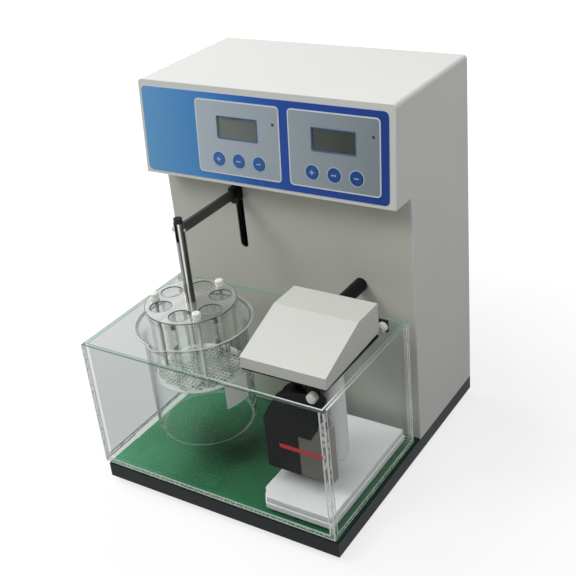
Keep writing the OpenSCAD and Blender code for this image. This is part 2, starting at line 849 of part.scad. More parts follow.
module arm_bar() {
    y0 = basket_cy - 1;
    color([0.2, 0.21, 0.2]) difference() {
        translate([arm_x - bar_t / 2, y0, bar_z - bar_h / 2])
            cube([bar_t, block_front + 11 - y0, bar_h]);
        translate([arm_x - bar_t, basket_cy + 1.4, bar_z]) rotate([0, 90, 0])
            cylinder(h = 2 * bar_t, d = 3.2);
    }
}

// The black block that closes the slot round the bar and rides down with it
module slot_block() {
    neck = slot_w - 2 * slack;
    y0 = col_y - slack - slot_block_d;
    color([0.05, 0.05, 0.06]) difference() {
        union() {
            translate([arm_x, 0, 0]) y_slot(slot_block_w, bar_z - slot_block_h / 2 - 2,
                bar_z + slot_block_h / 2, y0, col_y - slack);
            translate([arm_x - neck / 2, col_y - slack - eps, bar_z - bar_h / 2])
                cube([neck, block_front - col_y + slack + eps, bar_h - 2]);
        }
        translate([arm_x - bar_t / 2 - fit, y0 - 1, bar_z - bar_h / 2 - fit])
            cube([bar_t + 2 * fit, block_front - y0 + 2, bar_h + 2 * fit]);
    }
}

// ---- basket ----

module hanger_shaft() {
    top = disc_top + shaft_len;
    color([0.78, 0.79, 0.8]) at_basket() difference() {
        union() {
            translate([0, 0, plate_z - 5]) cylinder(h = top - plate_z + 5, d = shaft_dia);
            // the nut under the upper plate
            translate([0, 0, plate_z - 5.5]) cylinder(h = 5.5, d = 15, $fn = 6);
        }
        // the fork that the bar sits in
        translate([-bar_t / 2 - fit, -shaft_dia, top - 19])
            cube([bar_t + 2 * fit, 2 * shaft_dia, 20]);
        translate([-shaft_dia, 1.4, bar_z]) rotate([0, 90, 0])
            cylinder(h = 2 * shaft_dia, d = 3.2);
    }
}

// The cross screw through the fork, and the black cap on top of the shaft
module clamp_screws() {
    top = disc_top + shaft_len;
    color([0.9, 0.9, 0.88]) at_basket() translate([0, 1.4, bar_z]) rotate([0, 90, 0]) {
        translate([0, 0, -shaft_dia / 2 - 2.4]) cylinder(h = shaft_dia + 3, d = 3);
        translate([0, 0, -shaft_dia / 2 - 3]) cylinder(h = 3, d = 6);
    }
    color([0.1, 0.09, 0.12]) at_basket() translate([0, 0, top]) {
        cylinder(h = 4.5, d = 8.5);
        translate([0, 0, -2.6]) cylinder(h = 2.7, d = bar_t - 0.4);
    }
}

module top_disc() {
    color([0.85, 0.86, 0.87]) at_basket() translate([0, 0, disc_top - disc_t]) difference() {
        cylinder(h = disc_t, d = plate_dia);
        at_tubes() translate([0, 0, -1]) cylinder(h = disc_t + 2, d = disc_hole);
        at_posts() translate([0, 0, -1]) cylinder(h = disc_t + 2, d = post_dia + 2 * fit);
        translate([0, 0, -1]) cylinder(h = disc_t + 2, d = shaft_dia + 2 * fit);
    }
}

// A clear plate with its six tube holes, three post holes and a middle hole
module clear_plate(z, mid) {
    color([0.8, 0.85, 0.85, 0.5]) at_basket() translate([0, 0, z]) difference() {
        cylinder(h = plate_t, d = plate_dia);
        at_tubes() translate([0, 0, -1]) cylinder(h = plate_t + 2, d = tube_hole);
        at_posts() translate([0, 0, -1]) cylinder(h = plate_t + 2, d = post_dia + 2 * fit);
        translate([0, 0, -1]) cylinder(h = plate_t + 2, d = mid);
    }
}

module upper_plate() {
    clear_plate(plate_z, shaft_dia + 2 * fit);
}

module lower_plate() {
    clear_plate(tube_z, 8);
}

module glass_tubes() {
    color([0.85, 0.9, 0.92, 0.4]) at_basket() at_tubes() translate([0, 0, tube_z]) difference() {
        cylinder(h = tube_len, d = tube_dia);
        translate([0, 0, -1]) cylinder(h = tube_len + 2, d = tube_bore);
    }
}

// Square-mesh wire cloth in a plain rim
module wire_mesh() {
    pitch = mesh_gap + mesh_wire;
    n = floor(plate_dia / 2 / pitch);
    reach = plate_dia / 2 - 2.4;
    color([0.7, 0.71, 0.72]) at_basket() translate([0, 0, tube_z - mesh_t])
        linear_extrude(mesh_t) difference() {
            circle(d = plate_dia);
            for (i = [-n:n], j = [-n:n])
                if (norm([abs(i) + 0.5, abs(j) + 0.5]) * pitch < reach && !near_post(i, j, pitch))
                    translate([i * pitch, j * pitch]) square(mesh_gap, center = true);
            for (k = [0:2]) rotate(post_a + 120 * k) translate([post_ring_r, 0])
                circle(d = post_dia + 2 * fit);
        }
}

function near_post(i, j, pitch) = min([for (k = [0:2])
    norm([i * pitch - post_ring_r * cos(post_a + 120 * k),
        j * pitch - post_ring_r * sin(post_a + 120 * k)])]) < post_dia / 2 + mesh_gap * 0.75 + 0.6;

module basket_posts() {
    z0 = tube_z - mesh_t;
    color([0.78, 0.79, 0.8]) at_basket() at_posts() {
        translate([0, 0, z0 - 3]) cylinder(h = 3, d = 7);
        translate([0, 0, z0 - eps]) cylinder(h = disc_top + 3 - z0, d = post_dia);
    }
}

// Domed white nuts on the posts
module cap_nuts() {
    r = cap_dia / 2;
    edge = 2;
    color([0.93, 0.93, 0.9]) at_basket() at_posts() translate([0, 0, disc_top]) difference() {
        rotate_extrude($fn = 48) polygon(concat([[0, 0], [r - 1, 0], [r - 1, collar_h],
            [r, collar_h + 0.5]],
            [for (a = [0:15:90]) [r - edge + edge * cos(a), cap_h - edge + edge * sin(a)]],
            [[0, cap_h]]));
        translate([0, 0, -1]) cylinder(h = 4.3, d = post_dia + 2 * fit);
    }
}

// ---- water bath ----

module tank() {
    color([0.8, 0.9, 0.88, 0.35]) translate([-tank_w / 2, tank_y, tank_z]) difference() {
        cube([tank_w, tank_d, tank_h]);
        translate([tank_t, tank_t, tank_t])
            cube([tank_w - 2 * tank_t, tank_d - 2 * tank_t, tank_h]);
    }
}

// A clear bent shelf that lifts the beaker off the tank's floor
module beaker_shelf() {
    color([0.8, 0.88, 0.86, 0.4]) translate([arm_x, basket_cy, shelf_z]) {
        translate([-shelf_w / 2, -shelf_w / 2, shelf_h - shelf_t])
            cube([shelf_w, shelf_w, shelf_t]);
        for (s = [-1, 1]) translate([s * (shelf_w / 2 - shelf_t / 2) - shelf_t / 2, -shelf_w / 2, 0])
            cube([shelf_t, shelf_w, shelf_h - shelf_t + eps]);
    }
}

// The outline of the beaker's body and flared rim, drawn in by the inset
module beaker_outline(inset, top) {
    r = beaker_dia / 2 - inset;
    rim = rim_dia / 2 - inset * 1.2;
    heel = beaker_heel_r - inset;
    polygon(concat(
        [[0, inset], [r - heel, inset]],
        [for (a = [-75:15:0]) [r - heel + heel * cos(a), heel + inset + heel * sin(a)]],
        [for (k = [0:6]) [r + (rim - r) * pow(k / 6, 2), beaker_h - rim_flare_h
            + (rim_flare_h - rim_bead_r) * k / 6]],
        top > 0 ? [[rim + 1, beaker_h + top], [0, beaker_h + top]] :
            concat([for (a = [15:15:90]) [rim - rim_bead_r + rim_bead_r * cos(a),
                beaker_h - rim_bead_r + rim_bead_r * sin(a)]], [[0, beaker_h]])));
}

// The cone that the spout is drawn out to
module spout_cone(inset, over) {
    slope = (spout_r - spout_foot_r) / spout_h;
    translate([0, -(rim_dia / 2 + spout_reach - spout_r), beaker_h - spout_h])
        cylinder(h = spout_h + over, r1 = spout_foot_r - inset,
            r2 = spout_r - inset + slope * over, $fn = 48);
}

module beaker() {
    color([0.85, 0.92, 0.9, 0.35]) translate([arm_x, basket_cy, beaker_z]) difference() {
        union() {
            rotate_extrude($fn = 96) beaker_outline(0, 0);
            spout_cone(0, 0);
        }
        rotate_extrude($fn = 96) beaker_outline(beaker_t, 1);
        spout_cone(beaker_t, 1);
    }
}

// Two layers of white foam on the right of the tank's floor, cut slant at the front left
module foam_mat() {
    foam_w = 83;
    side_y = 60;            // how far back the mat's left side bends
    slant = 9;              // the slant at the mat's front left corner
    foam_gap = 1;           // from the mat to the tank's walls
    x1 = tank_in_x - foam_gap;
    x0 = x1 - foam_w;
    y0 = tank_y + tank_t + foam_gap;
    y1 = tank_y + tank_d - tank_t - foam_gap;
    color([0.93, 0.94, 0.94]) translate([0, 0, tank_floor + lay]) {
        linear_extrude(foam_t / 2) polygon([[x0 + slant - 2, y0], [x1, y0], [x1, y1],
            [x0 + 2, y1], [x0, y0 + side_y], [x0, y0 + slant]]);
        translate([0, 0, foam_t / 2]) linear_extrude(foam_t / 2) polygon([[x0 + slant - 1, y0 + 1],
            [x1 - 1, y0 + 1], [x1 - 1, y1 - 1], [x0 + 3, y1 - 1], [x0 + 1, y0 + side_y],
            [x0 + 1, y0 + slant + 1]]);
    }
}

// ---- heater ----

// The cover's side view: front lip, long slope, flat strip, back wall
module cover_profile(inset) {
    low = inset > 0 ? cover_t : 0;
    z_top = cover_z + cover_back_h - inset;
    z_lip = cover_z + cover_lip_h - inset;
    polygon([[cover_y0 + inset, cover_z - low], [cover_y1 - inset, cover_z + cover_rise - low],
        [cover_y1 - inset, z_top], [cover_y1 - cover_flat, z_top], [cover_y0 + inset, z_lip]]);
}

module heater_cover() {
    color([0.82, 0.83, 0.8]) difference() {
        across(cover_x0, cover_x1) cover_profile(0);
        across(cover_x0 + cover_t, cover_x1 - cover_t) cover_profile(cover_t);
        translate([conduit_x, 0, conduit_z])
            y_cyl(conduit_dia + 2 * fit, cover_y1 - 5, cover_y1 + 5);
    }
}

// The black plate that closes the cover from below and carries what hangs in the water.
// Its step fits inside the cover, and its tab at the back carries the second thumb screw.
module heater_base() {
    gap = cover_t + slack;
    arm_w = 8;
    color([0.06, 0.06, 0.07]) difference() {
        union() {
            translate([cover_x0 + 0.5, cover_y0 + 0.5, tab_z])
                cube([cover_w - 1, cover_d - 1, base_plate_t]);
            translate([cover_x0 + gap, cover_y0 + gap, cover_z - eps])
                cube([cover_w - 2 * gap, cover_d - 2 * gap, base_step_h]);
            translate([tab_x, cover_y1 - 10, tab_z])
                cube([arm_w, tab_y - cover_y1 + 10 + eps, base_plate_t]);
            translate([tab_x, tab_y, tab_z]) cube([tab_w, tab_t, tab_h]);
            // the clamp that grips the conduit inside the cover
            translate([conduit_x - 12, cover_y1 - 16, cover_z])
                cube([24, 8, conduit_z - cover_z + 10]);
        }
        translate([heater_x, heater_y, tab_z - 1])
            cylinder(h = base_plate_t + base_step_h + 2, d = heater_neck_dia + 2 * fit);
        translate([conduit_x, 0, conduit_z]) y_cyl(conduit_dia + 2 * fit, cover_y1 - 20, cover_y1);
        translate([tab_screw_x, 0, tab_screw_z]) y_cyl(screw_hole, tab_y - 1, tab_y + tab_t + 1);
    }
}

module heater_tube() {
    z1 = tab_z;
    r = heater_dia / 2;
    foot_r = 5;
    neck_h = 10;
    color([0.92, 0.93, 0.92]) translate([heater_x, heater_y, z1 - heater_len])
        rotate_extrude() polygon(concat([[0, 0]],
            [for (a = [-90:15:0]) [r - foot_r + foot_r * cos(a), foot_r + foot_r * sin(a)]],
            [[r, heater_len], [heater_neck_dia / 2, heater_len],
                [heater_neck_dia / 2, heater_len + neck_h], [0, heater_len + neck_h]]));
}

// The black plate that hangs at the front and carries the pump and the guard
module pump_bracket() {
    // the upper edge from right to left, in from the left side and down from the top
    edge = [[56, 1], [33, 5], [23, 7.5], [18, 11], [6.5, 30], [0, 42]];
    right_r = 4;
    color([0.05, 0.05, 0.06]) difference() {
        translate([0, bracket_y + bracket_t, 0]) rotate([90, 0, 0]) linear_extrude(bracket_t) {
            polygon([[bracket_x0, bracket_z], [bracket_x1, bracket_z],
                [bracket_x1, bracket_top - right_r], [bracket_x1 - right_r, bracket_top],
                for (p = edge) [bracket_x0 + p[0], bracket_top - p[1]]]);
            translate([bracket_screw_x - bracket_tab_w / 2, bracket_top - screw_head])
                square([bracket_tab_w, tab_z - bracket_top + screw_head]);
        }
        translate([bracket_screw_x, 0, bracket_screw_z])
            y_cyl(screw_hole, bracket_y - 1, bracket_y + bracket_t + 1);
    }
}

module pump_body() {
    x0 = bracket_x0 + 2;
    y0 = bracket_y + bracket_t;
    mid_x = x0 + pump_w / 2;
    mid_y = y0 + pump_d / 2;
    stub_z = bracket_z + pump_h - 16;
    z1 = cover_z - base_plate_t;
    color([0.07, 0.07, 0.08]) {
        translate([x0, y0, bracket_z]) cube([pump_w, pump_d, pump_h]);
        translate([mid_x, mid_y, bracket_z + pump_h - eps]) cylinder(h = 18, d = 30);
        translate([mid_x, mid_y, bracket_z + pump_h + 17]) cylinder(
            h = z1 - bracket_z - pump_h - 17, d = 12);
    }
    // the outlet stub
    color([0.07, 0.07, 0.08]) translate([x0 - 12, mid_y, stub_z]) rotate([0, 90, 0]) difference() {
        cylinder(h = 12 + eps, d = 12);
        translate([0, 0, -1]) cylinder(h = 12, d = 8);
    }
}

// The folded stainless guard with its notched top edge
module guard_plate() {
    x0 = bracket_x1 + guard_t + slack - guard_w;
    z0 = bracket_z + 1.5;
    notch_x = 13;
    notch_w = 10;
    notch_h = 16;
    color([0.62, 0.63, 0.64]) {
        translate([0, bracket_y, 0]) rotate([90, 0, 0]) linear_extrude(guard_t)
            polygon([[x0, z0], [x0 + guard_w, z0], [x0 + guard_w, z0 + guard_high_h],
                [x0 + notch_x + notch_w, z0 + guard_high_h],
                [x0 + notch_x + notch_w, z0 + guard_low_h + notch_h],
                [x0 + notch_x, z0 + guard_low_h], [x0, z0 + guard_low_h]]);
        translate([x0 + guard_w - guard_t, bracket_y - eps, z0])
            cube([guard_t, guard_fold, guard_high_h]);
    }
}

module thumb_screw() {
    y_cyl(screw_head, -6, 0);
    y_cyl(screw_head - 3, -7, -5.9);
    y_cyl(4, -eps, bracket_t + 1);
}

module thumb_screws() {
    color([0.9, 0.9, 0.88]) {
        translate([bracket_screw_x, bracket_y, bracket_screw_z]) thumb_screw();
        translate([tab_screw_x, tab_y, tab_screw_z]) thumb_screw();
    }
}

// The black conduit from the column to the cover, with its nut inside the column
module conduit() {
    color([0.05, 0.05, 0.06]) translate([conduit_x, 0, conduit_z]) difference() {
        union() {
            y_cyl(conduit_dia, cover_y1 - 17, in_front + 9);
            y_cyl(conduit_dia + 8, in_front, in_front + 5);
        }
        y_cyl(conduit_bore, cover_y1 - 18, in_front + 10);
    }
}

// ---- pieces ----

base_tray();
feet();
foot_screws();
base_mat();
cabinet_shell();
front_panel();
head_fascia();
rear_cover();
rear_screws();
control_film();
left_field();
right_field();
windows();
lcd_left();
lcd_right();
key_left_1();
key_left_2();
key_left_3();
key_right_1();
key_right_2();
key_right_3();
indicator_leds();
display_board();
control_board();
transformer();
power_inlet();
switch_housing();
power_rocker();
drive_frame();
guide_rods();
gear_motor();
crank();
connecting_rod();
slider_block();
slider_bushes();
slider_pin();
arm_bar();
slot_block();
hanger_shaft();
clamp_screws();
top_disc();
upper_plate();
lower_plate();
glass_tubes();
wire_mesh();
basket_posts();
cap_nuts();
tank();
beaker_shelf();
beaker();
foam_mat();
heater_cover();
heater_base();
heater_tube();
pump_body();
pump_bracket();
guard_plate();
thumb_screws();
conduit();
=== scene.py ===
import math
import random

import bmesh
import bpy
from mathutils import Matrix, Vector


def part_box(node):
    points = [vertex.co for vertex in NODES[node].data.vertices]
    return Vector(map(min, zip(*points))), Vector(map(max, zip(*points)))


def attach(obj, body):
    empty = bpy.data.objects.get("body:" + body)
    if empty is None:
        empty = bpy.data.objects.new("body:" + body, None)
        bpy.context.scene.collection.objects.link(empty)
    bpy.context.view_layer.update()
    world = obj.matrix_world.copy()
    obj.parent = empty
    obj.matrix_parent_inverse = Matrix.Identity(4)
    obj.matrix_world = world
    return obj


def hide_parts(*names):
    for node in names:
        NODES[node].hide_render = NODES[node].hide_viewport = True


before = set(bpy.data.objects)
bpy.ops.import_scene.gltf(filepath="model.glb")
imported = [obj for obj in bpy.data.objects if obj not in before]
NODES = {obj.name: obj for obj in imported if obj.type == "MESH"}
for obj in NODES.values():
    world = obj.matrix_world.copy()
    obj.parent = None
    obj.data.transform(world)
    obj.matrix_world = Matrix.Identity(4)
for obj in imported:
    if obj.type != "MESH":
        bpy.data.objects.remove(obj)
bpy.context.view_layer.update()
scene = bpy.context.scene

# ---------------------------------------------------------------- places, in metres
tank_lo, tank_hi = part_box("tank")
beaker_lo, beaker_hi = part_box("beaker")
foam_lo, foam_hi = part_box("foam_mat")
disc_lo, disc_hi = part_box("top_disc")
_, shelf_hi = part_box("beaker_shelf")
_, clamp_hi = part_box("clamp_screws")
fascia_lo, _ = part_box("head_fascia")

# the basket's axis, and the disc on it
AXIS = Vector(((disc_lo.x + disc_hi.x) / 2, (disc_lo.y + disc_hi.y) / 2, 0))
DISC_R = (disc_hi.x - disc_lo.x) / 2
HOLES = 6
HOLE_RING = 0.030
HOLE_R = 0.011
HOLE_TURN = math.radians(46)

TANK_T = 0.005
SHELF_T = 0.0052
BEAKER_R = 0.052
# the bend at the beaker's foot: from this radius outwards, and this high
FOOT_BEND_R = BEAKER_R - 0.0065
FOOT_BEND_H = 0.0016
# above this height the beaker's wall lets the light go straight on
BEAKER_STRAIGHT_H = 0.045
# the black cap on the shaft is this high
CAP_H = 0.0062


# ---------------------------------------------------------------- colours
def lin(c):
    return c / 12.92 if c <= 0.04045 else ((c + 0.055) / 1.055) ** 2.4


def rgb(r, g, b):
    return (lin(r / 255), lin(g / 255), lin(b / 255), 1.0)


def grey(v):
    return (v, v, v, 1)


def shade(col, k):
    return (col[0] * k, col[1] * k, col[2] * k, 1.0)


# ---------------------------------------------------------------- shader nodes
def new_mat(name):
    m = bpy.data.materials.new(name)
    m.use_nodes = True
    nt = m.node_tree
    return m, nt, nt.nodes["Principled BSDF"]


def coords(nt, scale=(1, 1, 1)):
    tc = nt.nodes.new("ShaderNodeTexCoord")
    mp = nt.nodes.new("ShaderNodeMapping")
    mp.inputs["Scale"].default_value = scale
    nt.links.new(tc.outputs["Object"], mp.inputs["Vector"])
    return mp.outputs["Vector"]


def axes(nt, vec):
    sep = nt.nodes.new("ShaderNodeSeparateXYZ")
    nt.links.new(vec, sep.inputs["Vector"])
    return sep.outputs


def noise(nt, vec, scale, detail=3.0, rough=0.55):
    n = nt.nodes.new("ShaderNodeTexNoise")
    n.inputs["Scale"].default_value = scale
    n.inputs["Detail"].default_value = detail
    n.inputs["Roughness"].default_value = rough
    nt.links.new(vec, n.inputs["Vector"])
    return n.outputs["Fac"]


def ramp(nt, fac, stops):
    r = nt.nodes.new("ShaderNodeValToRGB")
    el = r.color_ramp.elements
    el[0].position, el[0].color = stops[0]
    el[1].position, el[1].color = stops[-1]
    for p, c in stops[1:-1]:
        e = el.new(p)
        e.color = c
    nt.links.new(fac, r.inputs["Fac"])
    return r.outputs["Color"]


def bump(nt, height, strength, dist, out):
    b = nt.nodes.new("ShaderNodeBump")
    b.inputs["Strength"].default_value = strength
    b.inputs["Distance"].default_value = dist
    nt.links.new(height, b.inputs["Height"])
    nt.links.new(b.outputs["Normal"], out)


def uneven_gloss(nt, b, fac, low, high):
    """A roughness that drifts between two values."""
    nt.links.new(ramp(nt, fac, [(0.3, grey(low)), (0.7, grey(high))]), b.inputs["Roughness"])


def maths(nt, op, a, b=None):
    """One sum. Each of a and b is a number or the output of a node."""
    n = nt.nodes.new("ShaderNodeMath")
    n.operation = op
    for k, v in enumerate((a, b)):
        if v is None:
            continue
        if isinstance(v, (int, float)):
            n.inputs[k].default_value = v
        else:
            nt.links.new(v, n.inputs[k])
    return n.outputs[0]


def plus(nt, a, b):
    return maths(nt, "ADD", a, b)


def minus(nt, a, b):
    return maths(nt, "SUBTRACT", a, b)


def times(nt, a, b):
    return maths(nt, "MULTIPLY", a, b)


def over(nt, a, b):
    """1 where a is more than b."""
    return maths(nt, "GREATER_THAN", a, b)


def under(nt, a, b):
    """1 where a is less than b."""
    return maths(nt, "LESS_THAN", a, b)


def most(nt, a, b):
    return maths(nt, "MAXIMUM", a, b)


def least(nt, a, b):
    return maths(nt, "MINIMUM", a, b)


def line(nt, d, at, reach):
    """1 where d is closer to at than reach."""
    return under(nt, maths(nt, "ABSOLUTE", minus(nt, d, at)), reach)


def span(nt, value, start, end):
    """0 at start, 1 at end and even between them."""
    mr = nt.nodes.new("ShaderNodeMapRange")
    mr.inputs["From Min"].default_value = start
    mr.inputs["From Max"].default_value = end
    nt.links.new(value, mr.inputs["Value"])
    return mr.outputs["Result"]


def across(nt, x0, x1, stops):
    """A colour that changes from left to right over the object."""
    return ramp(nt, span(nt, axes(nt, coords(nt))["X"], x0, x1), stops)


def away_from(nt, vec, point):
    """The distance from a point."""
    d = nt.nodes.new("ShaderNodeVectorMath")
    d.operation = "DISTANCE"
    d.inputs[1].default_value = point
    nt.links.new(vec, d.inputs[0])
    return d.outputs["Value"]


def blend(nt, fac, a, b):
    """Colour a where fac is 0, colour b where it is 1. Each is a colour or a node's output."""
    n = nt.nodes.new("ShaderNodeMix")
    n.data_type = "RGBA"
    nt.links.new(fac, n.inputs["Factor"])
    for socket, v in (("A", a), ("B", b)):
        if isinstance(v, tuple):
            n.inputs[socket].default_value = v
        else:
            nt.links.new(v, n.inputs[socket])
    return n.outputs["Result"]


def recolour(m, fac, colour):
    """Lays a colour over a material's own one where fac is 1."""
    nt = m.node_tree
    base = nt.nodes["Principled BSDF"].inputs["Base Color"]
    nt.links.new(blend(nt, fac, base.links[0].from_socket, colour), base)


def mix(nt, fac, a, b):
    """Shader a where fac is 0, shader b where it is 1."""
    n = nt.nodes.new("ShaderNodeMixShader")
    nt.links.new(fac, n.inputs["Fac"])
    nt.links.new(a, n.inputs[1])
    nt.links.new(b, n.inputs[2])
    return n.outputs[0]


def bsdf(nt, kind, colour=None, rough=None):
    """One simple shader of the kind that its node is called after."""
    n = nt.nodes.new("ShaderNodeBsdf" + kind)
    if isinstance(colour, tuple):
        n.inputs["Color"].default_value = colour
    elif colour is not None:
        nt.links.new(colour, n.inputs["Color"])
    if rough is not None:
        n.inputs["Roughness"].default_value = rough
    return n


# ---------------------------------------------------------------- solid finishes
def paint(name, col, rough=0.45, vary=0.05, grain=900.0, depth=0.00004, metallic=0.0, spec=0.5):
    """A solid finish: base colour that drifts slightly, uneven gloss and a fine grain."""
    m, nt, b = new_mat(name)
    vec = coords(nt)
    big = noise(nt, vec, 14.0, 4.0)
    c = ramp(nt, big, [(0.3, shade(col, 1 - vary)), (0.7, shade(col, 1 + vary * 0.6))])
    nt.links.new(c, b.inputs["Base Color"])
    uneven_gloss(nt, b, big, rough * 0.9, min(1, rough * 1.12))
    bump(nt, noise(nt, vec, grain, 2.0), 0.4, depth, b.inputs["Normal"])
    b.inputs["Metallic"].default_value = metallic
    b.inputs["Specular IOR Level"].default_value = spec
    return m


def brushed(name, col, rough=0.28, stretch=(600, 600, 8), depth=0.00002, metallic=1.0):
    """Metal with fine lines, which run along the axis with the smallest stretch."""
    m, nt, b = new_mat(name)
    n = noise(nt, coords(nt, stretch), 1.0, 4.0, 0.7)
    c = ramp(nt, n, [(0.3, shade(col, 0.82)), (0.7, shade(col, 1.08))])
    nt.links.new(c, b.inputs["Base Color"])
    b.inputs["Metallic"].default_value = metallic
    uneven_gloss(nt, b, n, rough * 0.75, rough * 1.3)
    bump(nt, n, 0.35, depth, b.inputs["Normal"])
    return m


def head_finish(name, x0, x1, stops, cloud, low, high, grain, spec):
    """Film, glass or plastic on the head's face, painted paler towards its left end as painted light; on
    the film the blue is partly the print's own gradient. cloud is the scale of the uneven gloss, from low
    to high; grain is the bump's scale, strength and depth."""
    m, nt, b = new_mat(name)
    nt.links.new(across(nt, x0, x1, stops), b.inputs["Base Color"])
    vec = coords(nt)
    uneven_gloss(nt, b, noise(nt, vec, cloud), low, high)
    scale, strength, depth = grain
    bump(nt, noise(nt, vec, scale, 1.0), strength, depth, b.inputs["Normal"])
    b.inputs["Specular IOR Level"].default_value = spec
    return m


def mat_guard():
    """Brushed sheet steel. Faces that point up are painted near white: a painted highlight on its top
    edges.
    """
    m = brushed("guard_steel", rgb(106, 104, 100), 0.4, (5, 300, 700))
    nt = m.node_tree
    tc = nt.nodes.new("ShaderNodeTexCoord")
    # faces that point up are painted near white as a painted highlight
    upward_painted_highlight = over(nt, axes(nt, tc.outputs["Normal"])["Z"], 0.6)
    recolour(m, upward_painted_highlight, rgb(240, 241, 240))
    return m


def mat_shaft():
    """A polished shaft with long light and dark streaks painted round it, which are painted reflections of
    the room.
    """
    m, nt, b = new_mat("polished_shaft")
    x, y, _ = axes(nt, coords(nt))
    angle = maths(nt, "ARCTAN2", minus(nt, y, AXIS.y), minus(nt, x, AXIS.x))
    turn = plus(nt, maths(nt, "DIVIDE", angle, 2 * math.pi), 0.5)
    turn = plus(nt, turn, times(nt, noise(nt, coords(nt, (1, 1, 0.3)), 30.0), 0.012))
    # each painted reflection streak's place as a share of the turn, and its brightness
    streaks = [(0.0, 120), (0.1, 60), (0.16, 150), (0.25, 140), (0.29, 84), (0.32, 96),
               (0.345, 226), (0.375, 190), (0.40, 84), (0.50, 70), (0.56, 120), (0.70, 150),
               (0.80, 84), (0.92, 176), (1.0, 120)]
    c = ramp(nt, turn, [(p, rgb(v, v + 1, v - 3)) for p, v in streaks])
    nt.links.new(c, b.inputs["Base Color"])
    b.inputs["Metallic"].default_value = 1.0
    uneven_gloss(nt, b, noise(nt, coords(nt, (700, 700, 5)), 1.0), 0.16, 0.26)
    return m


def mat_disc():
    """The bright disc, with darker rims of painted shade round its edge and its holes."""
    m = brushed("mirror_disc", rgb(212, 213, 212), 0.14, (120, 6, 120), 0.000004, 0.75)
    nt = m.node_tree
    rim_w = 0.0006
    flat = coords(nt, (1, 1, 0))
    # rim marks thin rings of painted shade round the disc's edge and round each hole
    rim = over(nt, away_from(nt, flat, (AXIS.x, AXIS.y, 0)), DISC_R - rim_w)
    for k in range(HOLES):
        a = HOLE_TURN + k * 2 * math.pi / HOLES
        hole = (AXIS.x + HOLE_RING * math.cos(a), AXIS.y + HOLE_RING * math.sin(a), 0)
        rim = most(nt, rim, under(nt, away_from(nt, flat, hole), HOLE_R + rim_w))
    recolour(m, rim, rgb(112, 114, 110))
    return m


def in_from_sides(nt, x, y):
    """How far in a place is from the bath's nearer side, and from its nearer end."""
    dx = least(nt, minus(nt, x, tank_lo.x), minus(nt, tank_hi.x, x))
    dy = least(nt, minus(nt, y, tank_lo.y), minus(nt, tank_hi.y, y))
    return dx, dy


def mat_green():
    """A glossy soft sheet with faint long ripples: paler at the left, which is painted light, and dark
    outside the bath, which is painted shadow.
    """
    m, nt, b = new_mat("green_mat")
    vec = coords(nt)
    n = noise(nt, vec, 16.0, 4.0)
    deep = ramp(nt, n, [(0.3, rgb(40, 106, 68)), (0.7, rgb(56, 128, 86))])
    pale = ramp(nt, n, [(0.3, rgb(84, 160, 118)), (0.7, rgb(104, 184, 140))])
    # the left end is painted paler: painted light on that side of the mat
    left_painted_light = across(nt, tank_lo.x, tank_lo.x + 0.11, [(0.0, grey(0.8)), (1.0, grey(0))])
    x, y, _ = axes(nt, vec)
    # outside the bath the mat is painted dark: painted shadow under the bath's edges
    outside = under(nt, least(nt, *in_from_sides(nt, x, y)), 0.0015)
    c = blend(nt, outside, blend(nt, left_painted_light, deep, pale), rgb(22, 58, 38))
    nt.links.new(c, b.inputs["Base Color"])
    b.inputs["Roughness"].default_value = 0.22
    b.inputs["Specular IOR Level"].default_value = 0.1
    bump(nt, noise(nt, coords(nt, (3, 90, 1)), 1.0, 2.0), 0.35, 0.0012, b.inputs["Normal"])
    return m


def mat_foam():
    """White closed foam: matt, uneven, and a little light goes into it."""
    m, nt, b = new_mat("foam")
    vec = coords(nt)
    big = noise(nt, vec, 30.0, 4.0)
    c = ramp(nt, big, [(0.3, rgb(245, 247, 248)), (0.7, rgb(253, 254, 255))])
    nt.links.new(c, b.inputs["Base Color"])
    uneven_gloss(nt, b, big, 0.75, 0.9)
    bump(nt, noise(nt, vec, 500.0, 3.0), 0.5, 0.0004, b.inputs["Normal"])
    b.inputs["Subsurface Weight"].default_value = 0.15
    b.inputs["Subsurface Radius"].default_value = (0.004, 0.004, 0.004)
    return m


def mat_clamp():
    """White thumb screws; the cap at the top end of the shaft is black."""
    m, nt, b = new_mat("clamp_plastic")
    vec = coords(nt)
    cap = over(nt, axes(nt, vec)["Z"], clamp_hi.z - CAP_H)
    c = ramp(nt, cap, [(0.0, rgb(238, 238, 232)), (1.0, rgb(22, 22, 23))])
    nt.links.new(c, b.inputs["Base Color"])
    uneven_gloss(nt, b, noise(nt, vec, 90.0), 0.34, 0.44)
    bump(nt, noise(nt, vec, 1200.0, 1.0), 0.3, 0.00002, b.inputs["Normal"])
    b.inputs["Specular IOR Level"].default_value = 0.25
    return m


def mat_frost():
    """White print on glass, which light shines through from behind."""
    white = rgb(252, 253, 252)
    m = paint("beaker_print", white, 0.6, 0.02, 1500, 0.00001)
    nt = m.node_tree
    half = nt.nodes.new("ShaderNodeMixShader")
    half.inputs["Fac"].default_value = 0.5
    nt.links.new(nt.nodes["Principled BSDF"].outputs["BSDF"], half.inputs[1])
    nt.links.new(bsdf(nt, "Translucent", white).outputs[0], half.inputs[2])
    nt.links.new(half.outputs[0], nt.nodes["Material Output"].inputs["Surface"])
    return m


# ---------------------------------------------------------------- clear pieces
# The renderer allows few steps of light that goes straight on, and counts bent light separately. So
# the bath's front and floor, the beaker's foot, the tubes and the plates bend the light by next to
# nothing, and the other walls let it go straight on.
HARDLY_BENT = 1.01


def facing(nt):
    """0 where the surface is seen square on, 1 where it turns away."""
    lw = nt.nodes.new("ShaderNodeLayerWeight")
    lw.inputs["Blend"].default_value = 0.5
    return lw.outputs["Facing"]


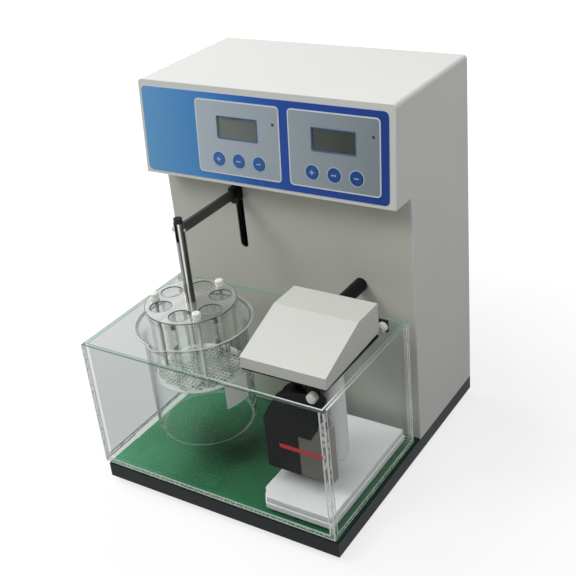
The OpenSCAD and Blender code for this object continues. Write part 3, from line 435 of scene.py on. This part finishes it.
def see_through(nt, colour, straight=None):
    """Light goes on through the surface: unbent where straight is 1, hardly bent elsewhere."""
    bent = bsdf(nt, "Refraction", colour, 0.0)
    bent.inputs["IOR"].default_value = HARDLY_BENT
    if straight is None:
        return bent.outputs[0]
    return mix(nt, straight, bent.outputs[0], bsdf(nt, "Transparent", colour).outputs[0])


def clear_output(nt, surface):
    """The surface as it is seen. The rays that carry light to other surfaces go through it."""
    lp = nt.nodes.new("ShaderNodeLightPath")
    lights = most(nt, lp.outputs["Is Shadow Ray"], lp.outputs["Is Diffuse Ray"])
    passing = bsdf(nt, "Transparent", (0.99, 0.995, 0.992, 1)).outputs[0]
    out = mix(nt, lights, surface, passing)
    nt.links.new(out, nt.nodes["Material Output"].inputs["Surface"])


def clear_mat(name):
    """A new material without its own shader, for a clear surface."""
    m, nt, b = new_mat(name)
    nt.nodes.remove(b)
    return m, nt


def glass_wall(nt, tint, edge, amount, power=4.0, sheen=0.004, straight=None):
    """A thin clear wall: a faint tint that closes to a line where it turns away, and a sheen that
    grows there by amount and power."""
    turned = facing(nt)
    wavy = times(nt, minus(nt, noise(nt, coords(nt), 40.0, 2.0), 0.5), 0.06)
    body = ramp(nt, plus(nt, turned, wavy), [(0.0, tint), (0.55, tint), (0.86, shade(tint, 0.9)),
                                             (0.97, edge), (1.0, edge)])
    glow = plus(nt, times(nt, maths(nt, "POWER", turned, power), amount), sheen)
    shiny = bsdf(nt, "Glossy", rough=0.04).outputs[0]
    return mix(nt, glow, see_through(nt, body, straight), shiny)


def thin_glass(name, tint, edge, amount, power=4.0, sheen=0.004):
    m, nt = clear_mat(name)
    clear_output(nt, glass_wall(nt, tint, edge, amount, power, sheen))
    return m


def mat_shelf():
    """The shelf under the beaker, a clear plate on clear legs."""
    m, nt = clear_mat("shelf_acrylic")
    legs = under(nt, axes(nt, coords(nt))["Z"], shelf_hi.z - SHELF_T)
    clear_output(nt, glass_wall(nt, (0.985, 0.995, 0.99, 1), (0.55, 0.75, 0.66, 1), 0.10,
                                straight=legs))
    return m


def mat_beaker():
    """Clear glass. The thick lip and the bend at the foot have thin pale lines painted on as painted
    highlights, and a darker line of painted shade runs under the lip."""
    m, nt = clear_mat("beaker_glass")
    vec = coords(nt)
    z = axes(nt, vec)["Z"]
    seen = glass_wall(nt, (0.97, 0.98, 0.975, 1), (0.42, 0.48, 0.45, 1), 0.55, 5.0,
                      straight=over(nt, z, beaker_lo.z + BEAKER_STRAIGHT_H))
    lip_h, shadow_down, shadow_reach = 0.0009, 0.0022, 0.0007
    # pale lines on the lip and at the foot's bend are painted highlights; lip_shadow is a dark line of
    # painted shade
    lip = times(nt, over(nt, z, beaker_hi.z - lip_h), 0.42)
    lip_shadow = times(nt, line(nt, z, beaker_hi.z - shadow_down, shadow_reach), 0.4)
    from_foot = away_from(nt, vec, (AXIS.x, AXIS.y, beaker_lo.z))
    foot = times(nt, under(nt, z, beaker_lo.z + FOOT_BEND_H), over(nt, from_foot, FOOT_BEND_R))
    bright = most(nt, lip, times(nt, foot, 0.2))
    seen = mix(nt, lip_shadow, seen, bsdf(nt, "Diffuse", rgb(70, 76, 72)).outputs[0])
    seen = mix(nt, bright, seen, bsdf(nt, "Diffuse", rgb(240, 244, 242)).outputs[0])
    clear_output(nt, seen)
    return m


def tank_sheet(nt, vec, x, y, z):
    """The bath's clear sheets: a little dimmer in front, and dimmest at the left."""
    tint = (0.975, 0.985, 0.98, 1)
    past_wall = TANK_T * 1.1
    behind = over(nt, y, tank_lo.y + past_wall)
    front = minus(nt, 1.0, behind)
    left = under(nt, x, tank_lo.x + past_wall)
    dimming = most(nt, times(nt, left, 0.95), times(nt, front, 0.45))
    dimming = plus(nt, dimming, times(nt, noise(nt, vec, 7.0, 4.0), 0.06))
    dims = ((0.0, 1.0), (0.1, 0.99), (0.4, 0.93), (0.55, 0.91), (0.9, 0.83), (1.0, 0.81))
    film = ramp(nt, dimming, [(p, shade(tint, k)) for p, k in dims])
    straight = times(nt, behind, over(nt, z, tank_lo.z + past_wall))
    sheen = plus(nt, times(nt, maths(nt, "POWER", facing(nt), 5.0), 0.4), 0.003)
    shiny = bsdf(nt, "Glossy", rough=0.02).outputs[0]
    return mix(nt, sheen, see_through(nt, film, straight), shiny), front


def mat_tank():
    """Clear sheet put together as a box. Its cut rims and glued corners catch the light as thin
    bright lines with small bubbles between them; the rims at the back and left are greener."""
    m, nt, b = new_mat("tank_acrylic")
    vec = coords(nt)
    x, y, z = axes(nt, vec)
    sheet, front = tank_sheet(nt, vec, x, y, z)
    dx, dy = in_from_sides(nt, x, y)
    hair = 0.0002
    # on the rim's flat top: how far in from the outer face
    on_rim = under(nt, minus(nt, tank_hi.z, z), hair)
    in_rim = least(nt, dx, dy)
    # on the outer faces: how far from the glued corner or from the floor's edge
    on_outside = under(nt, in_rim, hair)
    from_joint = least(nt, most(nt, dx, dy), minus(nt, z, tank_lo.z))

    bubbles = over(nt, noise(nt, coords(nt, (1, 1, 0.45)), 420.0, 2.0), 0.54)
    within = under(nt, from_joint, TANK_T)
    seam = most(nt, times(nt, times(nt, bubbles, within), 0.72), times(nt, within, 0.14))
    # a bright line at each side of the joint
    for at, reach in ((0.0003, 0.0010), (TANK_T, 0.0008)):
        seam = most(nt, seam, times(nt, line(nt, from_joint, at, reach), 0.92))
    rim = most(nt, line(nt, in_rim, 0.0, 0.0014), line(nt, in_rim, TANK_T, 0.0012))
    rim = most(nt, times(nt, rim, 0.9), 0.2)
    shows = most(nt, times(nt, seam, on_outside), times(nt, rim, on_rim))

    greener = most(nt, span(nt, y, tank_lo.y + 0.01, tank_hi.y),
                   span(nt, x, tank_hi.x - 0.02, tank_lo.x + 0.1))
    tints = [(0.0, rgb(244, 248, 246)), (1.0, rgb(112, 168, 144))]
    edge = ramp(nt, times(nt, greener, on_rim), tints)
    front_line = times(nt, times(nt, under(nt, in_rim, 0.0022), on_rim), front)
    nt.links.new(blend(nt, front_line, edge, rgb(58, 84, 72)), b.inputs["Base Color"])
    b.inputs["Roughness"].default_value = 0.35
    clear_output(nt, mix(nt, shows, sheet, b.outputs["BSDF"]))
    return m


def mat_pane():
    """The clear windows over the displays."""
    m, nt, b = new_mat("clear_pane")
    b.inputs["Base Color"].default_value = (0.97, 0.98, 0.97, 1)
    b.inputs["Transmission Weight"].default_value = 1.0
    b.inputs["IOR"].default_value = 1.15
    vec = coords(nt)
    r = ramp(nt, noise(nt, vec, 22.0), [(0.35, grey(0.02)), (0.75, grey(0.023))])
    nt.links.new(r, b.inputs["Roughness"])
    bump(nt, noise(nt, vec, 9.0, 1.0), 0.15, 0.0003, b.inputs["Normal"])
    clear_output(nt, b.outputs["BSDF"])
    return m


# ---------------------------------------------------------------- the looks of the CAD nodes
# colours from left to right over the head: the paler left ends are painted light, and on the film they are
# partly the print's own blue gradient
FILM_BLUES = [(0.0, rgb(104, 168, 220)), (0.25, rgb(76, 144, 210)), (0.45, rgb(46, 104, 188)),
              (0.62, rgb(32, 80, 168)), (1.0, rgb(22, 66, 150))]
FIELD_GREYS = [(0.0, rgb(190, 202, 211)), (1.0, rgb(136, 148, 154))]
KEY_BLUES = [(0.0, rgb(64, 112, 176)), (1.0, rgb(36, 72, 140))]
DISPLAY_GREYS = [(0.0, rgb(118, 127, 121)), (1.0, rgb(52, 57, 47))]
# the scale, strength and depth of a fine bump
FINE_GRAIN = (2600.0, 0.25, 0.00001)
KEY_GRAIN = (2500.0, 0.3, 0.00002)
GLASS_GRAIN = (1200.0, 0.2, 0.00001)

M = {
    "cabinet": paint("cabinet_paint", rgb(224, 225, 221), 0.42, 0.02, 1400, 0.00003),
    "column": paint("column_paint", rgb(214, 215, 204), 0.45, 0.03, 1400, 0.00003),
    "cover": paint("cover_paint", rgb(210, 211, 205), 0.40, 0.02, 1400, 0.00003),
    "base": paint("base_paint", rgb(36, 39, 43), 0.5, 0.08, 1200, 0.00005, spec=0.15),
    "rubber": paint("foot_rubber", rgb(26, 26, 27), 0.8, 0.1, 700, 0.0001, spec=0.2),
    "plastic_black": paint("black_plastic", rgb(19, 20, 21), 0.42, 0.1, 1500, 0.00003, spec=0.12),
    "pump_black": paint("pump_plastic", rgb(20, 23, 24), 0.45, 0.12, 1500, 0.00004, spec=0.12),
    "arm": paint("arm_paint", rgb(64, 67, 63), 0.42, 0.08, 1300, 0.00004, spec=0.3),
    "white_plastic": paint("white_plastic", rgb(238, 238, 232), 0.32, 0.03, 900, 0.00002),
    "heater_white": paint("heater_white", rgb(244, 245, 243), 0.38, 0.03, 600, 0.00003),
    "board": paint("circuit_board", rgb(32, 96, 58), 0.4, 0.1, 500, 0.00004),
    "iron": paint("transformer_iron", rgb(92, 93, 96), 0.55, 0.1, 900, 0.00005, metallic=0.6),
    "motor": paint("motor_paint", rgb(122, 126, 123), 0.42, 0.05, 1300, 0.00004),
    "bronze": paint("bush_bronze", rgb(178, 140, 84), 0.35, 0.08, 1200, 0.00004, metallic=1.0),
    "mesh": paint("mesh_wire", rgb(244, 246, 245), 0.4, 0.03, 900, 0.00002),
    "led": paint("led_red", rgb(70, 22, 24), 0.2, 0.05, 900, 0.00001),
    "screw": brushed("screw_steel", rgb(176, 177, 180), 0.3, (300, 300, 300)),
    "bracket": brushed("bracket_steel", rgb(165, 168, 172), 0.35, (8, 500, 500)),
    "machined": brushed("machined_aluminium", rgb(188, 190, 192), 0.32, (500, 8, 500)),
    "rod": brushed("polished_rod", rgb(205, 206, 207), 0.16, (400, 400, 6), 0.00001),
    "post": brushed("basket_post", rgb(222, 224, 222), 0.34, (500, 500, 8), 0.00002, 0.35),
    "film": head_finish("control_film", -0.135, 0.132, FILM_BLUES, 20.0, 0.22, 0.30, FINE_GRAIN, 0.2),
    "field": head_finish("grey_film", -0.08, 0.13, FIELD_GREYS, 14.0, 0.28, 0.36, FINE_GRAIN, 0.25),
    "key": head_finish("key_blue", -0.05, 0.11, KEY_BLUES, 60.0, 0.34, 0.44, KEY_GRAIN, 0.2),
    "display": head_finish("display_glass", -0.04, 0.09, DISPLAY_GREYS, 15.0, 0.12, 0.18, GLASS_GRAIN, 0.2),
    "plate": thin_glass("plate_acrylic", (0.97, 0.98, 0.975, 1), (0.6, 0.7, 0.66, 1), 0.25),
    "tubes": thin_glass("tube_glass", (0.985, 0.99, 0.985, 1), (0.55, 0.57, 0.55, 1), 0.7, 3.0, 0.016),
    "guard": mat_guard(), "shaft": mat_shaft(), "disc": mat_disc(), "clamp": mat_clamp(),
    "green": mat_green(), "foam": mat_foam(), "pane": mat_pane(), "tank": mat_tank(),
    "shelf": mat_shelf(), "glass": mat_beaker(),
}

LOOK = {
    "base_tray": "base", "feet": "rubber", "foot_screws": "screw", "base_mat": "green",
    "cabinet_shell": "cabinet", "front_panel": "column", "head_fascia": "cabinet",
    "rear_cover": "cabinet", "rear_screws": "screw", "control_film": "film",
    "left_field": "field", "right_field": "field", "windows": "pane", "lcd_left": "display",
    "lcd_right": "display", "indicator_leds": "led", "display_board": "board",
    "control_board": "board", "transformer": "iron", "power_inlet": "plastic_black",
    "switch_housing": "plastic_black", "power_rocker": "plastic_black",
    "drive_frame": "bracket", "guide_rods": "rod", "gear_motor": "motor", "crank": "bracket",
    "connecting_rod": "bracket", "slider_block": "machined", "slider_bushes": "bronze",
    "slider_pin": "rod", "arm_bar": "arm", "slot_block": "plastic_black", "hanger_shaft": "shaft",
    "clamp_screws": "clamp", "top_disc": "disc", "upper_plate": "plate",
    "lower_plate": "plate", "glass_tubes": "tubes", "wire_mesh": "mesh", "basket_posts": "post",
    "cap_nuts": "white_plastic", "tank": "tank", "beaker_shelf": "shelf", "beaker": "glass",
    "heater_cover": "cover", "heater_base": "plastic_black", "heater_tube": "heater_white",
    "pump_body": "pump_black", "pump_bracket": "plastic_black", "guard_plate": "guard",
    "thumb_screws": "white_plastic", "conduit": "plastic_black",
}
for node_name, node in NODES.items():
    look = "key" if node_name.startswith("key_") else LOOK.get(node_name)
    if look is not None:
        node.data.materials.clear()
        node.data.materials.append(M[look])


# ---------------------------------------------------------------- mesh helpers
def add_mesh(name, verts, faces, mat, body="frame"):
    me = bpy.data.meshes.new(name)
    me.from_pydata([tuple(v) for v in verts], [], faces)
    me.validate()
    me.update()
    o = bpy.data.objects.new(name, me)
    scene.collection.objects.link(o)
    me.materials.append(mat)
    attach(o, body)
    return o


# the leaning face: s runs up it from its lower edge, d stands out of it
FACE_Y, FACE_Z = fascia_lo.y, fascia_lo.z
LEAN = math.atan2(8, 96)


def face_pt(x, s, d=0.0):
    return Vector((x, FACE_Y + s * math.sin(LEAN) - d * math.cos(LEAN),
                   FACE_Z + s * math.cos(LEAN) + d * math.sin(LEAN)))


def face_prism(outlines, d, thick):
    """The corners of outlines on the leaning face, first of the outer side and then of the inner."""
    pts = [p for outline in outlines for p in outline]
    return [face_pt(x, s, d + thick) for x, s in pts] + [face_pt(x, s, d) for x, s in pts]


def face_ring(name, outer, inner, d, thick, mat, inner_wall=True):
    """A flat ring between two outlines on the leaning face."""
    n = len(outer)
    faces = []
    for k in range(n):
        j = (k + 1) % n
        faces += [(k, j, n + j, n + k), (2 * n + k, 2 * n + j, j, k)]
        if inner_wall:
            faces.append((n + k, n + j, 3 * n + j, 3 * n + k))
    return add_mesh(name, face_prism([outer, inner], d, thick), faces, mat)


def face_shape(name, pts, d, thick, mat, body):
    """A flat printed shape on the leaning face, from its outline."""
    n = len(pts)
    faces = [tuple(range(n))] + [(n + k, n + (k + 1) % n, (k + 1) % n, k) for k in range(n)]
    return add_mesh(name, face_prism([pts], d, thick), faces, mat, body)


def rounded_loop(cx, cs, w, h, r, n=8):
    pts = []
    for px, ps, a0 in ((w / 2 - r, h / 2 - r, 0), (-w / 2 + r, h / 2 - r, 90),
                       (-w / 2 + r, -h / 2 + r, 180), (w / 2 - r, -h / 2 + r, 270)):
        for k in range(n + 1):
            a = math.radians(a0 + 90 * k / n)
            pts.append((cx + px + r * math.cos(a), cs + ps + r * math.sin(a)))
    return pts


def circle(cx, cs, r, n=40):
    return [(cx + r * math.cos(2 * math.pi * i / n), cs + r * math.sin(2 * math.pi * i / n))
            for i in range(n)]


def face_frame(name, cx, cs, w, h, r, width, d, thick, mat):
    """A thin line round a rounded rectangle on the leaning face."""
    inner_r = max(r - width, 0.0003)
    return face_ring(name, rounded_loop(cx, cs, w, h, r),
                     rounded_loop(cx, cs, w - 2 * width, h - 2 * width, inner_r), d, thick, mat)


# ---------------------------------------------------------------- control head prints
white_print = paint("print_white", rgb(226, 232, 236), 0.5, 0.03, 2000, 0.00001)
pale_print = paint("print_pale", rgb(176, 200, 222), 0.5, 0.03, 2000, 0.00001)
dark_print = paint("print_dark", rgb(74, 104, 148), 0.5, 0.03, 2000, 0.00001, spec=0.2)

PRINT_LINE = 0.0012
FIELD_S, FIELD_H = 0.047, 0.071
WINDOW_S, WINDOW_W, WINDOW_H = 0.0574, 0.0473, 0.0228
KEY_S = 0.0255
KEY_RING_R, KEY_RING_IN_R = 0.0081, 0.0070
MARK, STROKE = 0.0024, 0.0005

KEY_MARKS = {
    # a plus
    1: [(-MARK, -STROKE), (-STROKE, -STROKE), (-STROKE, -MARK), (STROKE, -MARK), (STROKE, -STROKE),
        (MARK, -STROKE), (MARK, STROKE), (STROKE, STROKE), (STROKE, MARK), (-STROKE, MARK),
        (-STROKE, STROKE), (-MARK, STROKE)],
    # two small triangles, point to point
    2: [(-MARK, -MARK * 0.4), (0, -MARK * 0.15), (MARK, -MARK * 0.4), (MARK, MARK * 0.4),
        (0, MARK * 0.15), (-MARK, MARK * 0.4)],
    # a bar
    3: [(-MARK, -STROKE), (MARK, -STROKE), (MARK, STROKE), (-MARK, STROKE)],
}

for side in ("left", "right"):
    field_lo, field_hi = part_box(side + "_field")
    mid_x = (field_lo.x + field_hi.x) / 2
    field_w = field_hi.x - field_lo.x
    face_frame(side + "_field_edge", mid_x, FIELD_S, field_w + 2 * PRINT_LINE, FIELD_H + 2 * PRINT_LINE,
               0.0042, PRINT_LINE, 0.0005, 0.00052, white_print)
    face_frame(side + "_window_edge", mid_x, WINDOW_S, WINDOW_W, WINDOW_H,
               0.0014, PRINT_LINE, 0.001, 0.00012, dark_print)
    for k, mark in KEY_MARKS.items():
        key_lo, key_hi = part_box("key_%s_%d" % (side, k))
        key_x = (key_lo.x + key_hi.x) / 2
        face_ring("key_ring_%s_%d" % (side, k), circle(key_x, KEY_S, KEY_RING_R),
                  circle(key_x, KEY_S, KEY_RING_IN_R), 0.001, 0.00015, pale_print, inner_wall=False)
        face_shape("key_mark_%s_%d" % (side, k), [(key_x + px, KEY_S + ps) for px, ps in mark],
                   0.0018, 0.00008, pale_print, "key_%s_%d_body" % (side, k))


# ---------------------------------------------------------------- level line on the bath
LEVEL_X0, LEVEL_X1 = 0.0895, 0.1345
LEVEL_Z, LEVEL_H = 0.1185, 0.0042


def level_line(thick=0.00015):
    """A red line printed on the bath's front."""
    red = paint("level_red", rgb(190, 34, 46), 0.5, 0.06, 1500, 0.00001)
    far_y = tank_lo.y - 0.0001
    z0, z1 = LEVEL_Z - LEVEL_H / 2, LEVEL_Z + LEVEL_H / 2
    v = [(x, y, z) for y in (far_y, far_y - thick)
         for x, z in ((LEVEL_X0, z0), (LEVEL_X1, z0), (LEVEL_X1, z1), (LEVEL_X0, z1))]
    f = [(4, 5, 6, 7), (3, 2, 1, 0), (0, 1, 5, 4), (1, 2, 6, 5), (2, 3, 7, 6), (3, 0, 4, 7)]
    return add_mesh("level_line", v, f, red)


level_line()


# ---------------------------------------------------------------- foam
def foam_sheet(bm, z0, z1, inset, seed):
    """One sheet, whose left side was cut by hand and is less straight than the others."""
    r = random.Random(seed)
    x0, y0, x1, y1 = foam_lo.x + inset, foam_lo.y + inset, foam_hi.x - inset, foam_hi.y - inset
    corners = [(x0 + 0.009, y0), (x1, y0), (x1, y1), (x0 + 0.002, y1), (x0 + 0.001, y0 + 0.10),
               (x0, y0 + 0.055), (x0 + 0.0005, y0 + 0.012)]
    first_hand_cut = 3
    step = 0.004
    pts = []
    for i, (x, y) in enumerate(corners):
        xn, yn = corners[(i + 1) % len(corners)]
        wob = 0.0004 if i >= first_hand_cut else 0.00015
        steps = max(2, int(math.hypot(xn - x, yn - y) / step))
        for k in range(steps):
            t = k / steps
            px = x + (xn - x) * t + r.uniform(-wob, wob)
            py = y + (yn - y) * t + r.uniform(-wob, wob)
            pts.append((px, py))
    low = [bm.verts.new((x, y, z0)) for x, y in pts]
    high = [bm.verts.new((x, y, z1)) for x, y in pts]
    bm.faces.new(list(reversed(low)))
    bm.faces.new(high)
    n = len(pts)
    for k in range(n):
        bm.faces.new((low[k], low[(k + 1) % n], high[(k + 1) % n], high[k]))


def foam_piece():
    """Two sheets that lie on one another, in place of the plain soft solid."""
    bm = bmesh.new()
    mid = (foam_lo.z + foam_hi.z) / 2
    gap = 0.0002
    foam_sheet(bm, foam_lo.z + gap, mid - gap, 0.0004, 3)
    foam_sheet(bm, mid + gap, foam_hi.z - gap, 0.0012, 5)
    me = bpy.data.meshes.new("foam_sheets")
    bm.to_mesh(me)
    bm.free()
    o = bpy.data.objects.new("foam_sheets", me)
    scene.collection.objects.link(o)
    me.materials.append(M["foam"])
    bev = o.modifiers.new("edge", "BEVEL")
    bev.width = 0.0011
    bev.segments = 3
    bev.limit_method = "ANGLE"
    bev.angle_limit = math.radians(50)
    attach(o, "frame")
    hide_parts("foam_mat")
    return o


foam_piece()


# ---------------------------------------------------------------- beaker print
def arc_patch(name, a0, a1, z0, z1, mat, n=24):
    """A thin print round the beaker's wall, from angle a0 to a1 in degrees."""
    r0 = BEAKER_R + 0.0001
    r1 = r0 + 0.00012
    verts, faces = [], []
    for k in range(n + 1):
        a = math.radians(a0 + (a1 - a0) * k / n)
        verts += [(AXIS.x + r * math.cos(a), AXIS.y + r * math.sin(a), z)
                  for z in (z0, z1) for r in (r0, r1)]
    for k in range(n):
        i, j = 4 * k, 4 * (k + 1)
        faces += [(i + 1, j + 1, j + 3, i + 3), (i + 2, j + 2, j, i),
                  (i, j, j + 1, i + 1), (i + 3, j + 3, j + 2, i + 2)]
    faces += [(0, 1, 3, 2), (4 * n + 2, 4 * n + 3, 4 * n + 1, 4 * n)]
    return add_mesh(name, verts, faces, mat)


frost = mat_frost()
PATCH_FROM, PATCH_TO = -27, 6
PATCH_Z0, PATCH_Z1 = 0.096, 0.125
arc_patch("beaker_marking_patch", PATCH_FROM, PATCH_TO, PATCH_Z0, PATCH_Z1, frost)
# plain lines up the wall, each second one shorter
LINES_Z, LINES_STEP, LINE_H = 0.078, 0.0165, 0.0007
LINES_FROM, LONG_TO, SHORT_TO = 14, 30, 24
for k in range(5):
    z = LINES_Z + LINES_STEP * k
    arc_patch("beaker_line_%d" % k, LINES_FROM, LONG_TO if k % 2 == 0 else SHORT_TO, z, z + LINE_H, frost)

# ---------------------------------------------------------------- camera
AZ, EL, ROLL = 0.60868, 0.4960, -0.10638
CAMERA_AT = (0.52833, -0.74325, 0.67526)
back = Vector((math.sin(AZ) * math.cos(EL), -math.cos(AZ) * math.cos(EL), math.sin(EL)))
level_right = Vector((math.cos(AZ), math.sin(AZ), 0))
level_up = level_right.cross(-back)
right = math.cos(ROLL) * level_right + math.sin(ROLL) * level_up
up = -math.sin(ROLL) * level_right + math.cos(ROLL) * level_up
cam_data = bpy.data.cameras.new("camera")
cam_data.sensor_width = 36.0
cam_data.lens = 63.302
cam_data.clip_start = 0.05
cam_data.clip_end = 50
cam = bpy.data.objects.new("camera", cam_data)
scene.collection.objects.link(cam)
cam.matrix_world = Matrix.Translation(CAMERA_AT) @ Matrix((right, up, back)).transposed().to_4x4()
scene.camera = cam


# ---------------------------------------------------------------- stage
def camera_like(nt):
    """1 for rays from the camera, and for what is seen in or through a surface."""
    lp = nt.nodes.new("ShaderNodeLightPath")
    mirrored = most(nt, lp.outputs["Is Camera Ray"], lp.outputs["Is Glossy Ray"])
    return most(nt, mirrored, lp.outputs["Is Transmission Ray"])


def background(nt, colour, strength):
    n = nt.nodes.new("ShaderNodeBackground")
    n.inputs["Color"].default_value = colour
    n.inputs["Strength"].default_value = strength
    return n.outputs[0]


def white_world():
    """Seen as white, but its light on the object is weak."""
    world = bpy.data.worlds.new("world")
    scene.world = world
    world.use_nodes = True
    nt = world.node_tree
    nt.nodes.clear()
    out = nt.nodes.new("ShaderNodeOutputWorld")
    lights = background(nt, (0.98, 1.0, 0.99, 1), 0.15)
    seen = background(nt, grey(1), 1.0)
    nt.links.new(mix(nt, camera_like(nt), lights, seen), out.inputs["Surface"])


def stage_floor():
    """Seen as pale grey round the object and as white further out, with the object's shadow."""
    half = 6.0
    m, nt, b = new_mat("stage_floor")
    nt.nodes.remove(b)
    glow = nt.nodes.new("ShaderNodeEmission")
    glow.inputs["Color"].default_value = grey(1)
    far = nt.nodes.new("ShaderNodeVectorMath")
    far.operation = "LENGTH"
    nt.links.new(coords(nt), far.inputs[0])
    fade = ramp(nt, far.outputs["Value"], [(0.25, grey(0.74)), (0.8, grey(1.0))])
    nt.links.new(times(nt, camera_like(nt), fade), glow.inputs["Strength"])
    both = nt.nodes.new("ShaderNodeAddShader")
    nt.links.new(bsdf(nt, "Diffuse", grey(0.26)).outputs[0], both.inputs[0])
    nt.links.new(glow.outputs[0], both.inputs[1])
    nt.links.new(both.outputs[0], nt.nodes["Material Output"].inputs["Surface"])
    me = bpy.data.meshes.new("stage_floor")
    me.from_pydata([(-half, -half, 0), (half, -half, 0), (half, half, 0), (-half, half, 0)],
                   [], [(0, 1, 2, 3)])
    floor = bpy.data.objects.new("stage_floor", me)
    me.materials.append(m)
    scene.collection.objects.link(floor)


def area(name, place, target, side, power):
    d = bpy.data.lights.new(name, "AREA")
    d.shape = "RECTANGLE"
    d.size = side
    d.size_y = side
    d.energy = power
    o = bpy.data.objects.new(name, d)
    o.location = place
    o.rotation_euler = (Vector(target) - Vector(place)).to_track_quat("-Z", "Y").to_euler()
    scene.collection.objects.link(o)


white_world()
stage_floor()
area("top_light", (-0.2, -0.5, 2.0), (0, -0.05, 0.2), 2.0, 12.5)
area("key_light", (-1.1, -1.4, 1.8), (0, 0, 0.2), 1.0, 19.5)
area("side_light", (0.9, -0.2, 1.3), (0.1, 0.0, 0.2), 0.7, 5.0)
area("left_light", (-1.2, 0.15, 0.9), (-0.05, -0.08, 0.05), 0.8, 9)

scene.view_settings.view_transform = "Standard"
